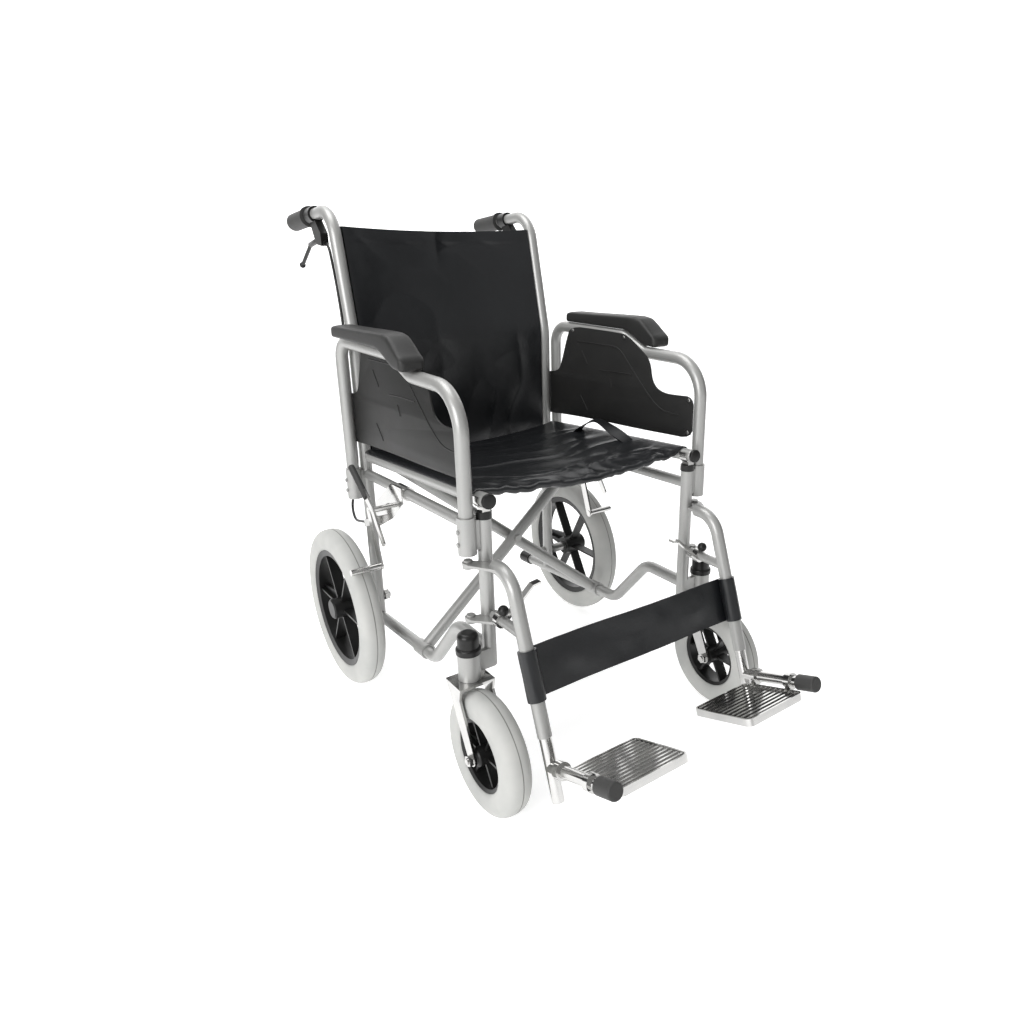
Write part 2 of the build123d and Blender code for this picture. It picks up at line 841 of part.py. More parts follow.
# Leg rests
def make_hanger():
    with BuildPart() as hanger:
        bent_tube(
            [
                side_point(hanger_start_forward, hanger_top_height),
                side_point(rake_forward_at(hanger_top_height), hanger_top_height),
                side_point(rake_forward_at(hanger_end_height), hanger_end_height),
            ],
            hanger_radius,
            tube_diameter,
            hanger_wall,
        )
        # Strut from the lower bracket to the tube
        strut_bore = strut_diameter / 2 - tube_wall
        bar(side_point(strut_start_forward, strut_height), side_point(rake_forward_at(strut_height) - tube_radius / 2, strut_height),
            strut_diameter / 2, strut_bore)
        # Bracket plates, notched round the post
        brackets = (
            (upper_lug_top, hanger_start_forward + 16),
            (lower_lug_top, latch_forward - latch_width / 2 - side_gap),
        )
        for lug_top, bracket_forward in brackets:
            with BuildSketch(Plane.XY.offset(lug_top + side_gap)) as bracket:
                with BuildLine():
                    Polyline(
                        (hanger_pin_half_width - 2, y_at(hanger_pin_forward - 9)),
                        (hanger_pin_half_width + 9, y_at(hanger_pin_forward)),
                        (hanger_pin_half_width + 7, y_at(hanger_pin_forward + 12)),
                        (frame_half_width + 10, y_at(bracket_forward)),
                        (frame_half_width - 8, y_at(bracket_forward)),
                        (frame_half_width - 8, y_at(strut_start_forward - 4)),
                        (frame_half_width + 4, y_at(strut_start_forward - 6)),
                        close=True,
                    )
                make_face()
                with Locations((hanger_pin_half_width, y_at(hanger_pin_forward))):
                    Circle(9)
                    Circle(hanger_pin_diameter / 2 + hinge_gap, mode=Mode.SUBTRACT)
                with Locations((frame_half_width, y_at(post_forward))):
                    Circle(tube_radius + 1, mode=Mode.SUBTRACT)
            extrude(to_extrude=bracket.sketch, amount=hanger_plate)
        # The stem slides in the lower leg, so its bore stays open
        bore_plane = Plane(origin=side_point(rake_forward_at(hanger_end_height), hanger_end_height),
                           z_dir=(0, sin(rake_angle), cos(rake_angle)))
        with BuildSketch(bore_plane) as bore:
            Circle(tube_radius - hanger_wall)
        extrude(to_extrude=bore.sketch, amount=(stem_top_height - hanger_end_height + 45) / cos(rake_angle),
                mode=Mode.SUBTRACT)
    return hanger.part


def make_hanger_latch():
    ring_wall = 4
    arm_thickness = 4
    thumb = 14
    latch_plane = Plane(origin=side_point(latch_forward + latch_width / 2, strut_height), x_dir=(-1, 0, 0),
                        z_dir=(0, 1, 0))
    bore = strut_diameter / 2 + running_gap
    with BuildPart() as latch:
        with BuildSketch(latch_plane) as profile:
            with BuildLine():
                Polyline((bore + ring_wall / 2, 0), (latch_reach - thumb, latch_rise), (latch_reach, latch_rise + 2))
            trace(line_width=arm_thickness)
            Circle(bore + ring_wall)
            Circle(bore, mode=Mode.SUBTRACT)
        extrude(to_extrude=profile.sketch, amount=latch_width)
    return latch.part


def make_footrest_stem():
    with BuildPart() as stem:
        bar(side_point(rake_forward_at(stem_bottom_height), stem_bottom_height),
            side_point(rake_forward_at(stem_top_height), stem_top_height), stem_radius)
        arm_start = foot_plane.from_local_coords(Vector(0, 0, 0))
        arm_end = foot_plane.from_local_coords(Vector(0, foot_arm_length, 0))
        bar(tuple(arm_start), tuple(arm_end), stem_radius)
        bar(side_point(rake_forward_at(stem_bottom_height + 3), stem_bottom_height + 3),
            side_point(rake_forward_at(stem_top_height + 3), stem_top_height + 3), stem_radius - tube_wall, mode=Mode.SUBTRACT)
        arm_bore = foot_plane.from_local_coords(Vector(0, stem_radius + 2, 0))
        bar(tuple(arm_bore), tuple(arm_end), stem_radius - tube_wall, mode=Mode.SUBTRACT)
    return stem.part


def make_footplate_knob():
    end_round = 3
    with BuildPart() as knob:
        knob_tail = foot_plane.from_local_coords(Vector(0, knob_start, 0))
        knob_nose = foot_plane.from_local_coords(Vector(0, knob_end, 0))
        bar(tuple(knob_tail), tuple(knob_nose), knob_diameter / 2)
        fillet(knob.edges().group_by(Axis.Y)[0], end_round)
        bore_end = foot_plane.from_local_coords(Vector(0, foot_arm_length + side_gap, 0))
        bar(tuple(knob_tail), tuple(bore_end), stem_radius, mode=Mode.SUBTRACT)
    return knob.part


def make_footplate():
    ring_radius = 13.5
    ring_length = 12
    ring_starts = (22, 98)
    rim_wall = 3
    corner = 10
    width = plate_inner_edge - plate_outer_edge
    length = plate_front_edge - plate_rear_edge
    middle = ((plate_inner_edge + plate_outer_edge) / 2, (plate_front_edge + plate_rear_edge) / 2)
    skin_top = -plate_drop - 2
    rib_pitch = (length - 2 * corner) / (rib_count - 1)
    with BuildPart() as plate:
        with BuildSketch(foot_plane.offset(skin_top - plate_skin)) as skin:
            with Locations(middle):
                RectangleRounded(width, length, corner)
        extrude(to_extrude=skin.sketch, amount=plate_skin)
        with BuildSketch(foot_plane.offset(-plate_drop - plate_rim_depth)) as rim:
            with Locations(middle):
                RectangleRounded(width, length, corner)
                RectangleRounded(width - 2 * rim_wall, length - 2 * rim_wall, corner - rim_wall, mode=Mode.SUBTRACT)
        extrude(to_extrude=rim.sketch, amount=plate_rim_depth)
        with BuildSketch(foot_plane.offset(skin_top)) as ribs:
            with Locations(middle):
                with GridLocations(0, rib_pitch, 1, rib_count):
                    Rectangle(width - 2 * rim_wall - 6, rib_width)
        extrude(to_extrude=ribs.sketch, amount=-plate_drop - skin_top)
        # Two hinge rings round the foot arm, on tabs of the plate
        for start in ring_starts:
            ring_plane = Plane(origin=foot_plane.from_local_coords(Vector(0, start, 0)), x_dir=(-1, 0, 0),
                               z_dir=foot_plane.y_dir)
            with BuildSketch(ring_plane) as ring:
                Circle(ring_radius)
            extrude(to_extrude=ring.sketch, amount=ring_length)
            with BuildSketch(foot_plane.offset(skin_top - plate_skin)) as tab:
                with Locations((plate_outer_edge / 2 + 1, start + ring_length / 2)):
                    Rectangle(plate_outer_edge + 2, ring_length)
            extrude(to_extrude=tab.sketch, amount=plate_skin)
        arm_end = foot_plane.from_local_coords(Vector(0, foot_arm_length, 0))
        bar(tuple(foot_plane.origin), tuple(arm_end), stem_radius + running_gap, mode=Mode.SUBTRACT)
    return plate.part


# Wheel lock and the saddle that holds the seat rail
lock_plate_face = frame_half_width + mid_rail_diameter / 2 + 2.5
lock_plate = 3
shoe_arm_face = lock_plate_face + lock_plate + 16.8
lock_lever_face = shoe_arm_face + 8.2
lock_bar = 4


def make_chrome_fittings():
    clamp_wall = 3
    clamp_length = 40
    saddle_wall = 2.2
    saddle_length = 16
    saddle_base = post_top + 11
    clamp_radius = mid_rail_diameter / 2 + clamp_wall
    stud_radius = lock_stud_diameter / 2
    plate_outline = [
        (lock_clamp_forward + 22, mid_rail_front_height + 4),
        (lock_clamp_forward - 22, mid_rail_front_height + 2),
        (shoe_pivot_forward - 10, shoe_pivot_height + 14),
        (cable_stop_forward - 2, cable_stop_height + 8),
        (cable_stop_forward - 2, cable_stop_height - 7),
        (cable_stop_forward + 16, cable_stop_height - 7),
        (lever_pivot_forward + 20, lever_pivot_height - 18),
        (lock_clamp_forward + 22, mid_rail_rear_height - 8),
    ]
    with BuildPart() as lock_side:
        bar(mid_rail_point(lock_clamp_forward - clamp_length / 2), mid_rail_point(lock_clamp_forward + clamp_length / 2),
            clamp_radius)
        side_plate(plate_outline, lock_plate_face, lock_plate)
        bar((lock_plate_face, y_at(shoe_pivot_forward), shoe_pivot_height),
            (shoe_arm_face + lock_bar + side_gap, y_at(shoe_pivot_forward), shoe_pivot_height), stud_radius)
        bar((lock_plate_face, y_at(lever_pivot_forward), lever_pivot_height),
            (lock_lever_face + lock_bar + side_gap, y_at(lever_pivot_forward), lever_pivot_height), stud_radius)
        # Ear that the cable housing butts against
        with BuildSketch(Plane.XY.offset(cable_stop_height - 7)) as ear:
            with Locations(((lock_plate_face + cable_stop_half_width + 5) / 2, y_at(cable_stop_forward + 1.5))):
                Rectangle(cable_stop_half_width + 5 - lock_plate_face, lock_plate)
        extrude(to_extrude=ear.sketch, amount=14)
        bar(mid_rail_point(lock_clamp_forward - clamp_length), mid_rail_point(lock_clamp_forward + clamp_length),
            mid_rail_diameter / 2, mode=Mode.SUBTRACT)
    with BuildPart() as saddle:
        saddle_at = along_fold(post_forward, brace_half_height)
        inner = seat_rail_radius + side_gap
        outer = inner + saddle_wall
        # A channel along the seat rail, open upward, on a foot that stands on the post's collar
        with BuildSketch(fold_plane.offset(saddle_at - saddle_length / 2)) as channel:
            with Locations((frame_half_width, brace_half_height)):
                Circle(outer)
            with Locations((frame_half_width, brace_half_height + outer / 2)):
                Rectangle(2 * outer, outer)
            with Locations((frame_half_width, brace_half_height - outer)):
                Rectangle(outer, outer)
            with Locations((frame_half_width, brace_half_height)):
                Circle(inner, mode=Mode.SUBTRACT)
            with Locations((frame_half_width, brace_half_height + outer)):
                Rectangle(2 * inner, 2 * outer, mode=Mode.SUBTRACT)
            with Locations((frame_half_width, brace_half_height + 1.5 * outer)):
                Rectangle(2 * outer, 2 * outer, mode=Mode.SUBTRACT)
        extrude(to_extrude=channel.sketch, amount=saddle_length)
        with BuildSketch(Plane.XY.offset(saddle_base)) as below:
            with Locations((frame_half_width, y_at(post_forward))):
                Rectangle(4 * outer, 4 * outer)
        extrude(to_extrude=below.sketch, amount=-3 * outer, mode=Mode.SUBTRACT)
    with BuildPart() as fittings:
        add(lock_side.part)
        add(saddle.part)
    return fittings.part


def strip(start, end, width, inner_face, thickness, eye=0):
    # A flat bar between two points in the side view, with round ends
    with BuildSketch(Plane.YZ.offset(inner_face)) as flat:
        with BuildLine():
            Line((y_at(start[0]), start[1]), (y_at(end[0]), end[1]))
        trace(line_width=width)
        for forward, height in (start, end):
            with Locations((y_at(forward), height)):
                Circle(width / 2)
        if eye:
            with Locations((y_at(start[0]), start[1])):
                Circle(eye, mode=Mode.SUBTRACT)
    extrude(to_extrude=flat.sketch, amount=thickness)


def make_lock_lever():
    eye = lock_stud_diameter / 2 + hinge_gap
    neck = (lever_pivot_forward - 32, lever_pivot_height + 23)
    with BuildPart() as lever:
        strip((lever_pivot_forward, lever_pivot_height), neck, 14, lock_lever_face, lock_bar, eye)
        strip((lever_pivot_forward, lever_pivot_height), (lock_tail_forward, lock_tail_height), 12, lock_lever_face,
              lock_bar, eye)
    return lever.part


def make_lock_grip():
    grip_radius = 6
    middle = lock_lever_face + lock_bar / 2
    start = Vector(middle, y_at(lever_pivot_forward - 14), lever_pivot_height + 10)
    end = Vector(middle, y_at(lock_grip_tip_forward), lock_grip_tip_height)
    with BuildPart() as grip:
        bar(tuple(start + (end - start) * 0.12), tuple(end), grip_radius)
        fillet(grip.edges().group_by(Axis.Y)[-1], grip_radius * 0.6)
    with BuildPart() as lever:
        add(make_lock_lever())
    return (grip.part - lever.part).solids().sort_by(SortBy.VOLUME)[-1]


def make_lock_shoe():
    shoe_end = rear_wheel_half_track + rear_tyre_width / 2
    with BuildPart() as shoe:
        strip((shoe_pivot_forward, shoe_pivot_height), (shoe_forward, shoe_height), 16, shoe_arm_face, lock_bar,
              lock_stud_diameter / 2 + hinge_gap)
        bar((shoe_arm_face - 1, y_at(shoe_forward), shoe_height), (shoe_end, y_at(shoe_forward), shoe_height),
            shoe_diameter / 2)
    return shoe.part


# Folding cross
def make_cross_brace(side, offset):
    # side is where its lower end sits: -1 on the right, +1 on the left
    lower = (side * frame_half_width, -brace_half_height)
    upper = (-side * frame_half_width, brace_half_height)
    rail_front = along_fold(post_forward + seat_rail_front_overhang, brace_half_height)
    rail_rear = along_fold(seat_rail_rear_forward, brace_half_height)

    def local(point, distance):
        return tuple(fold_plane.from_local_coords(Vector(point[0], point[1], distance)))

    sleeve_rear = offset - brace_sleeve_length / 2
    sleeve_front = offset + brace_sleeve_length / 2
    with BuildPart() as brace:
        bar(local(lower, offset), local(upper, offset), tube_radius, tube_bore)
        bar(local(lower, sleeve_rear), local(lower, sleeve_front), tube_radius + brace_sleeve_wall)
        bar(local(lower, sleeve_rear - 1), local(lower, sleeve_front + 1), tube_radius + running_gap,
            mode=Mode.SUBTRACT)
        bar(local(upper, rail_rear), local(upper, rail_front), seat_rail_radius)
        fillet(brace.edges().filter_by(GeomType.CIRCLE).group_by(Axis.Y)[0], 4)
        bar(local(upper, rail_rear + 3), local(upper, rail_front - 8), tube_bore, mode=Mode.SUBTRACT)
        bar(local((0, 0), offset - tube_diameter), local((0, 0), offset + tube_diameter),
            brace_bolt_diameter / 2 + hinge_gap, mode=Mode.SUBTRACT)
    return brace.part


def make_brace_pivot():
    half_stack = brace_spacing / 2 + tube_radius + side_gap
    head = 5
    with BuildPart() as pivot:
        with BuildSketch(fold_plane.offset(-half_stack - head)) as shank:
            Circle(brace_bolt_diameter / 2)
        extrude(to_extrude=shank.sketch, amount=2 * (half_stack + head))
        for start in (-half_stack - head, half_stack):
            with BuildSketch(fold_plane.offset(start)) as nut:
                RegularPolygon(brace_bolt_diameter * 0.8, 6, major_radius=False)
            extrude(to_extrude=nut.sketch, amount=head)
    return pivot.part


# Soft goods
def make_seat_sling():
    wrap = seat_rail_radius + side_gap
    front = along_fold(seat_front_forward, brace_half_height)
    rear = along_fold(seat_rear_forward, brace_half_height)
    rail_height = brace_half_height
    hem_end = radians(-40)
    loop_half_width = 172
    loop_length = 140
    loop_rise = 20
    loop_width = 24
    loop_thickness = 2
    loop_sink = 4
    with BuildPart() as sling:
        with BuildSketch(fold_plane.offset(rear)) as sheet:
            for side in (-1, 1):
                with Locations((side * frame_half_width, rail_height)):
                    Circle(wrap + sling_thickness)
                    Circle(wrap, mode=Mode.SUBTRACT)
                # Only the top and the outer side of the rail are wrapped
                with BuildLine():
                    Polyline(
                        (side * frame_half_width, rail_height),
                        (side * frame_half_width, rail_height + 3 * wrap),
                        (side * (frame_half_width - 3 * wrap), rail_height + 3 * wrap),
                        (side * (frame_half_width - 3 * wrap), rail_height - 3 * wrap),
                        (side * (frame_half_width + 3 * wrap * cos(hem_end)), rail_height - 3 * wrap),
                        (side * (frame_half_width + 3 * wrap * cos(hem_end)), rail_height + 3 * wrap * sin(hem_end)),
                        close=True,
                    )
                make_face(mode=Mode.SUBTRACT)
            with BuildLine():
                top = rail_height + wrap + sling_thickness
                under = rail_height + wrap
                upper = ThreePointArc((-frame_half_width, top), (0, top - seat_sag), (frame_half_width, top))
                Line(upper @ 1, (frame_half_width, under))
                lower = ThreePointArc((frame_half_width, under), (0, under - seat_sag), (-frame_half_width, under))
                Line(lower @ 1, upper @ 0)
            make_face()
        extrude(to_extrude=sheet.sketch, amount=front - rear)
        # Lifting strap near the left edge, used to fold the seat
        strap_plane = Plane(
            origin=fold_plane.from_local_coords(Vector(loop_half_width, top - loop_sink, 0)),
            x_dir=fold_plane.z_dir,
            z_dir=(1, 0, 0),
        )
        with BuildSketch(strap_plane) as arch:
            with BuildLine():
                ThreePointArc((-loop_length / 2, 0), (0, -loop_rise), (loop_length / 2, 0))
            trace(line_width=loop_thickness)
        extrude(to_extrude=arch.sketch, amount=loop_width)
    return sling.part


def make_backrest_sling():
    edge = frame_half_width - tube_radius - side_gap
    flange = 18
    lean = Vector(0, handle_corner_back, handle_corner_height - cane_bend_height).normalized()
    with BuildPart() as sling:
        with BuildSketch(Plane.XY.offset(cane_bend_height)) as section:
            with BuildLine():
                front = ThreePointArc((-edge, axle_y - 4), (0, axle_y - 4 + back_sag), (edge, axle_y - 4))
                Line(front @ 1, (edge, axle_y - 4 + sling_thickness))
                rear = ThreePointArc(
                    (edge, axle_y - 4 + sling_thickness),
                    (0, axle_y - 4 + back_sag + sling_thickness),
                    (-edge, axle_y - 4 + sling_thickness),
                )
                Line(rear @ 1, front @ 0)
            make_face()
            for side in (-1, 1):
                with Locations((side * (edge - sling_thickness / 2), axle_y)):
                    Rectangle(sling_thickness, flange)
        extrude(to_extrude=section.sketch, amount=back_sling_bottom - cane_bend_height)
        upper_length = (back_sling_top - cane_bend_height) / lean.Z
        extrude(to_extrude=section.sketch, amount=upper_length, dir=tuple(lean))
    return sling.part


def make_calf_strap():
    centre_forward = rake_forward_at(strap_centre_height)
    wrap = tube_radius + side_gap
    # Local x runs across and local y forward, square to the leg tubes
    strap_plane = Plane(origin=(0, y_at(centre_forward), strap_centre_height), x_dir=(1, 0, 0),
                        z_dir=(0, -sin(rake_angle), -cos(rake_angle)))
    with BuildPart() as strap:
        with BuildSketch(strap_plane.offset(-strap_height / 2)) as band:
            with Locations((0, -wrap - strap_thickness / 2)):
                Rectangle(2 * frame_half_width, strap_thickness)
            for side in (-1, 1):
                with Locations((side * frame_half_width, 0)):
                    Circle(wrap + strap_thickness)
                    Circle(wrap, mode=Mode.SUBTRACT)
        extrude(to_extrude=band.sketch, amount=strap_height)
    return strap.part


pairs = {
    "back_cane": make_back_cane,
    "front_post": make_front_post,
    "side_rails": make_side_rails,
    "armrest_sockets": make_armrest_sockets,
    "frame_plugs": make_frame_plugs,
    "push_grip": make_push_grip,
    "lever_clamp": make_lever_clamp,
    "brake_lever": make_brake_lever,
    "brake_cable": make_brake_cable,
    "rear_axle": make_rear_axle,
    "caster_fork": make_caster_fork,
    "armrest_frame": make_armrest_frame,
    "armrest_pad": make_armrest_pad,
    "side_panel": make_side_panel,
    "hanger": make_hanger,
    "hanger_latch": make_hanger_latch,
    "footrest_stem": make_footrest_stem,
    "footplate": make_footplate,
    "footplate_knob": make_footplate_knob,
    "chrome_fittings": make_chrome_fittings,
    "lock_lever": make_lock_lever,
    "lock_grip": make_lock_grip,
    "lock_shoe": make_lock_shoe,
}
for node, make in pairs.items():
    export_pair(make(), node)

export_pair(
    make_tyre(0, rear_wheel_radius, rear_wheel_half_track, rear_tyre_width, rear_wheel_radius, rear_rim_radius, 17),
    "rear_tyre",
)
export_pair(
    make_hub(0, rear_wheel_radius, rear_wheel_half_track, rear_rim_radius, 36,
             (rear_hub_inboard, rear_hub_outboard, 20), rear_axle_diameter / 2 + hinge_gap, rear_axle_end + side_gap),
    "rear_hub",
)
export_pair(
    make_tyre(caster_axle_forward, caster_radius, caster_half_track, caster_tyre_width, caster_radius,
              caster_rim_radius, 17),
    "caster_tyre",
)
caster_barrel_half = fork_inner - 2.5
export_pair(
    make_hub(caster_axle_forward, caster_radius, caster_half_track, caster_rim_radius, 36,
             (caster_half_track - caster_barrel_half, caster_half_track + caster_barrel_half, 15),
             caster_axle_diameter / 2 + hinge_gap, caster_half_track + caster_barrel_half + 1),
    "caster_hub",
)

export_piece(make_cross_brace(-1, brace_spacing / 2), "cross_brace_r")
export_piece(make_cross_brace(1, -brace_spacing / 2), "cross_brace_l")
export_piece(make_brace_pivot(), "brace_pivot")
export_piece(make_seat_sling(), "seat_sling")
export_piece(make_backrest_sling(), "backrest_sling")
export_piece(make_calf_strap(), "calf_strap")

rest_angle = degrees(atan2(brace_half_height, frame_half_width))
print("axle y", round(axle_y, 2), "brace height", round(brace_height, 2), "half height", round(brace_half_height, 2),
      "rest angle", round(rest_angle, 2))
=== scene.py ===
import bpy
import json
from math import cos, pi, radians, sin
from mathutils import Matrix, Vector, noise

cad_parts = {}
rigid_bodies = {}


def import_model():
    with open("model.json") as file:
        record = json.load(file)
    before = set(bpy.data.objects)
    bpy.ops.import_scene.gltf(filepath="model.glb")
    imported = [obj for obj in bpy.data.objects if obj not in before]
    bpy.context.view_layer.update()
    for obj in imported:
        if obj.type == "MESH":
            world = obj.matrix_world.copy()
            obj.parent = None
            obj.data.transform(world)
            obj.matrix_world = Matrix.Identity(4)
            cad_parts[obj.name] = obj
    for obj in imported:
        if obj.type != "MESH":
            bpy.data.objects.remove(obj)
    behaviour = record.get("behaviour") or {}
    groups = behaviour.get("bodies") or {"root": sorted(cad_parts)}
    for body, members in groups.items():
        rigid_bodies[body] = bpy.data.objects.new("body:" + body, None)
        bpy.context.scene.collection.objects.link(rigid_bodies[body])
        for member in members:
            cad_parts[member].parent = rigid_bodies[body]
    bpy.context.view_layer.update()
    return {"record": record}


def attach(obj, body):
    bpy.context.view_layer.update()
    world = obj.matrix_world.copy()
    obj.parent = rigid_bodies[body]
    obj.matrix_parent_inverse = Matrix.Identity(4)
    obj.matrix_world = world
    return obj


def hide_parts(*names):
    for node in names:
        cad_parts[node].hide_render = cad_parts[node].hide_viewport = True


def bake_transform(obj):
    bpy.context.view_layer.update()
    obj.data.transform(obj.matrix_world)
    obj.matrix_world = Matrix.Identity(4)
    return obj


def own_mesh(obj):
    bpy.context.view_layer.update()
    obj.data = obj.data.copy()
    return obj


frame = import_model()
sides = {"r": -1, "l": 1}
sideNames = {"r": "Right", "l": "Left"}

# Where the photograph was taken from, and how its picture is framed
photo = {
    "place": (-0.7265, -1.1397, 0.8477),
    "yaw": 38.52,
    "pitch": 19.07,
    "roll": -0.58,
    "focalPixels": 764.46,
    "centrePixels": (606.5, 505.2),
    "pixels": 1024,
    "farthest": 50,
}


def aimCamera():
    yaw, pitch, roll = (radians(photo[turn]) for turn in ("yaw", "pitch", "roll"))
    ahead = Vector((sin(yaw) * cos(pitch), cos(yaw) * cos(pitch), -sin(pitch)))
    level = Vector((cos(yaw), -sin(yaw), 0))
    right = cos(roll) * level + sin(roll) * ahead.cross(level)
    up = right.cross(ahead)
    lens = bpy.data.cameras.new("photoCamera")
    lens.lens = photo["focalPixels"] / photo["pixels"] * lens.sensor_width
    lens.shift_x = 0.5 - photo["centrePixels"][0] / photo["pixels"]
    lens.shift_y = photo["centrePixels"][1] / photo["pixels"] - 0.5
    lens.clip_end = photo["farthest"]
    camera = bpy.data.objects.new("photoCamera", lens)
    bpy.context.collection.objects.link(camera)
    turn = Matrix((right, up, -ahead)).transposed().to_4x4()
    camera.matrix_world = Matrix.Translation(photo["place"]) @ turn
    bpy.context.scene.camera = camera


aimCamera()
print("camera ready")


# One socket of a shader. Python maths on it adds Math nodes.
class Wire:
    def __init__(self, paint, socket):
        self.paint = paint
        self.socket = socket

    def __add__(self, other):
        return self.paint.maths("ADD", self, other)

    def __radd__(self, other):
        return self.paint.maths("ADD", other, self)

    def __sub__(self, other):
        return self.paint.maths("SUBTRACT", self, other)

    def __mul__(self, other):
        return self.paint.maths("MULTIPLY", self, other)


# A material with its Principled shader, and short ways to feed it
class Paint:
    def __init__(self, name):
        self.material = bpy.data.materials.new(name)
        self.material.use_nodes = True
        self.tree = self.material.node_tree
        self.shader = self.tree.nodes["Principled BSDF"]
        self.place = self.node("ShaderNodeTexCoord", {}, out="Object")

    def node(self, kind, settings, *values, out=0, **named):
        made = self.tree.nodes.new(kind)
        for key, value in settings.items():
            setattr(made, key, value)
        for socket, value in zip(made.inputs, values):
            self.feed(socket, value)
        for key, value in named.items():
            self.feed(made.inputs[key], value)
        return Wire(self, made.outputs[out])

    def feed(self, socket, value):
        if isinstance(value, Wire):
            self.tree.links.new(value.socket, socket)
        elif value is not None:
            socket.default_value = value

    def maths(self, operation, *values):
        return self.node("ShaderNodeMath", {"operation": operation}, *values)

    def noise(self, scale, detail, roughness=0.5):
        return self.node("ShaderNodeTexNoise", {}, Vector=self.place, Scale=scale, Detail=detail,
                         Roughness=roughness)

    def cells(self, scale, feature="F1"):
        return self.node("ShaderNodeTexVoronoi", {"feature": feature}, Vector=self.place,
                         Scale=scale)

    def ramp(self, factor, *stops):
        ramped = self.node("ShaderNodeValToRGB", {}, factor)
        ramp = ramped.socket.node.color_ramp
        for element, (position, grey) in zip(ramp.elements, stops):
            element.position = position
            element.color = (grey, grey, grey, 1)
        return ramped

    def mixColour(self, factor, first, second):
        mixed = self.tree.nodes.new("ShaderNodeMix")
        mixed.data_type = "RGBA"
        for index, value in ((0, factor), (6, first), (7, second)):
            self.feed(mixed.inputs[index], value)
        return Wire(self, mixed.outputs[2])

    def axis(self, name):
        return self.node("ShaderNodeSeparateXYZ", {}, self.place, out=name)

    def bump(self, height, strength, distance, under=None):
        return self.node("ShaderNodeBump", {}, Strength=strength, Distance=distance, Height=height,
                         Normal=under)

    def finish(self, **sockets):
        for key, value in sockets.items():
            self.feed(self.shader.inputs[key.replace("_", " ")], value)
        return self.material


def shade(value, tint=(1, 1, 1)):
    return (value * tint[0], value * tint[1], value * tint[2], 1)


# Metallic silver lacquer on the tubes
silverPaint = {
    "dark": 0.30,
    "light": 0.36,
    "tint": (1, 1.0, 0.975),
    "flakeScale": 2600,
    "cloudScale": 9,
    "peelScale": 240,
    "flakeShare": 0.7,
    "spread": (0.35, 0.65),
    "metallic": 0.45,
    # In each finish, polish is the least roughness, and dulling is what the noise adds to it
    "polish": 0.34,
    "dulling": 0.12,
    "coat": 0.25,
    "coatRoughness": 0.2,
    "relief": 0.08,
}


def makeSilverPaint():
    paint = Paint("silverPaint")
    flake = paint.noise(silverPaint["flakeScale"], detail=1)
    cloud = paint.noise(silverPaint["cloudScale"], detail=2)
    peel = paint.noise(silverPaint["peelScale"], detail=2)
    share = silverPaint["flakeShare"]
    start, end = silverPaint["spread"]
    colour = paint.mixColour(paint.ramp(flake * share + cloud * (1 - share), (start, 0), (end, 1)),
                             shade(silverPaint["dark"], silverPaint["tint"]),
                             shade(silverPaint["light"], silverPaint["tint"]))
    return paint.finish(Base_Color=colour, Metallic=silverPaint["metallic"],
                        Roughness=silverPaint["polish"] + flake * silverPaint["dulling"],
                        Coat_Weight=silverPaint["coat"],
                        Coat_Roughness=silverPaint["coatRoughness"],
                        Normal=paint.bump(peel, silverPaint["relief"], distance=0.0004))


# Bare metal: a cloudy haze over its shine, and fine scratches
chrome = {
    "dark": 0.46,
    "light": 0.62,
    "tint": (1, 0.99, 0.96),
    "hazeScale": 35,
    "scratchScale": 900,
    "polish": 0.07,
    "dulling": 0.1,
    "relief": 0.03,
}
zinc = {
    "dark": 0.36,
    "light": 0.52,
    "tint": (1, 0.99, 0.95),
    "hazeScale": 60,
    "scratchScale": 800,
    "polish": 0.24,
    "dulling": 0.16,
    "relief": 0.05,
}


def makeMetal(name, metal):
    paint = Paint(name)
    haze = paint.noise(metal["hazeScale"], detail=4)
    scratch = paint.noise(metal["scratchScale"], detail=1)
    colour = paint.mixColour(haze, shade(metal["dark"]), shade(metal["light"], metal["tint"]))
    return paint.finish(Base_Color=colour, Metallic=1.0,
                        Roughness=metal["polish"] + haze * metal["dulling"],
                        Normal=paint.bump(scratch, metal["relief"], distance=0.0002))


# Grey rubber. The parting line of the mould runs round the middle of every tread.
rubber = {
    "dark": (0.36, (1, 1.01, 0.98)),
    "light": (0.46, (1, 1.0, 0.96)),
    "seam": (0.12, (1, 0.98, 0.9)),
    "cloudScale": 14,
    "grainScale": 900,
    "wearScale": 25,
    "spread": (0.3, 0.75),
    "seamPlanes": (0.277, 0.2485),
    "seamSharpness": 400,
    "seamEdge": (0.3, 0.62),
    "seamStrength": 0.75,
    "seamWear": 0.25,
    "polish": 0.68,
    "dulling": 0.15,
    "relief": 0.2,
}


def makeTyreGrey():
    paint = Paint("tyreGrey")
    cloud = paint.noise(rubber["cloudScale"], detail=4)
    grain = paint.noise(rubber["grainScale"], detail=2)
    start, end = rubber["spread"]
    colour = paint.mixColour(paint.ramp(cloud, (start, 0), (end, 1)), shade(*rubber["dark"]),
                             shade(*rubber["light"]))
    across = paint.maths("ABSOLUTE", paint.axis("X"))
    rearOff, casterOff = (paint.maths("ABSOLUTE", across - plane) for plane in rubber["seamPlanes"])
    worn = paint.noise(rubber["wearScale"], detail=2)
    off = paint.maths("MINIMUM", rearOff, casterOff) * rubber["seamSharpness"]
    start, end = rubber["seamEdge"]
    seam = paint.ramp(off + worn * rubber["seamWear"], (start, 1), (end, 0))
    colour = paint.mixColour(seam * rubber["seamStrength"], colour, shade(*rubber["seam"]))
    return paint.finish(Base_Color=colour, Roughness=rubber["polish"] + grain * rubber["dulling"],
                        Normal=paint.bump(grain, rubber["relief"], distance=0.0004))


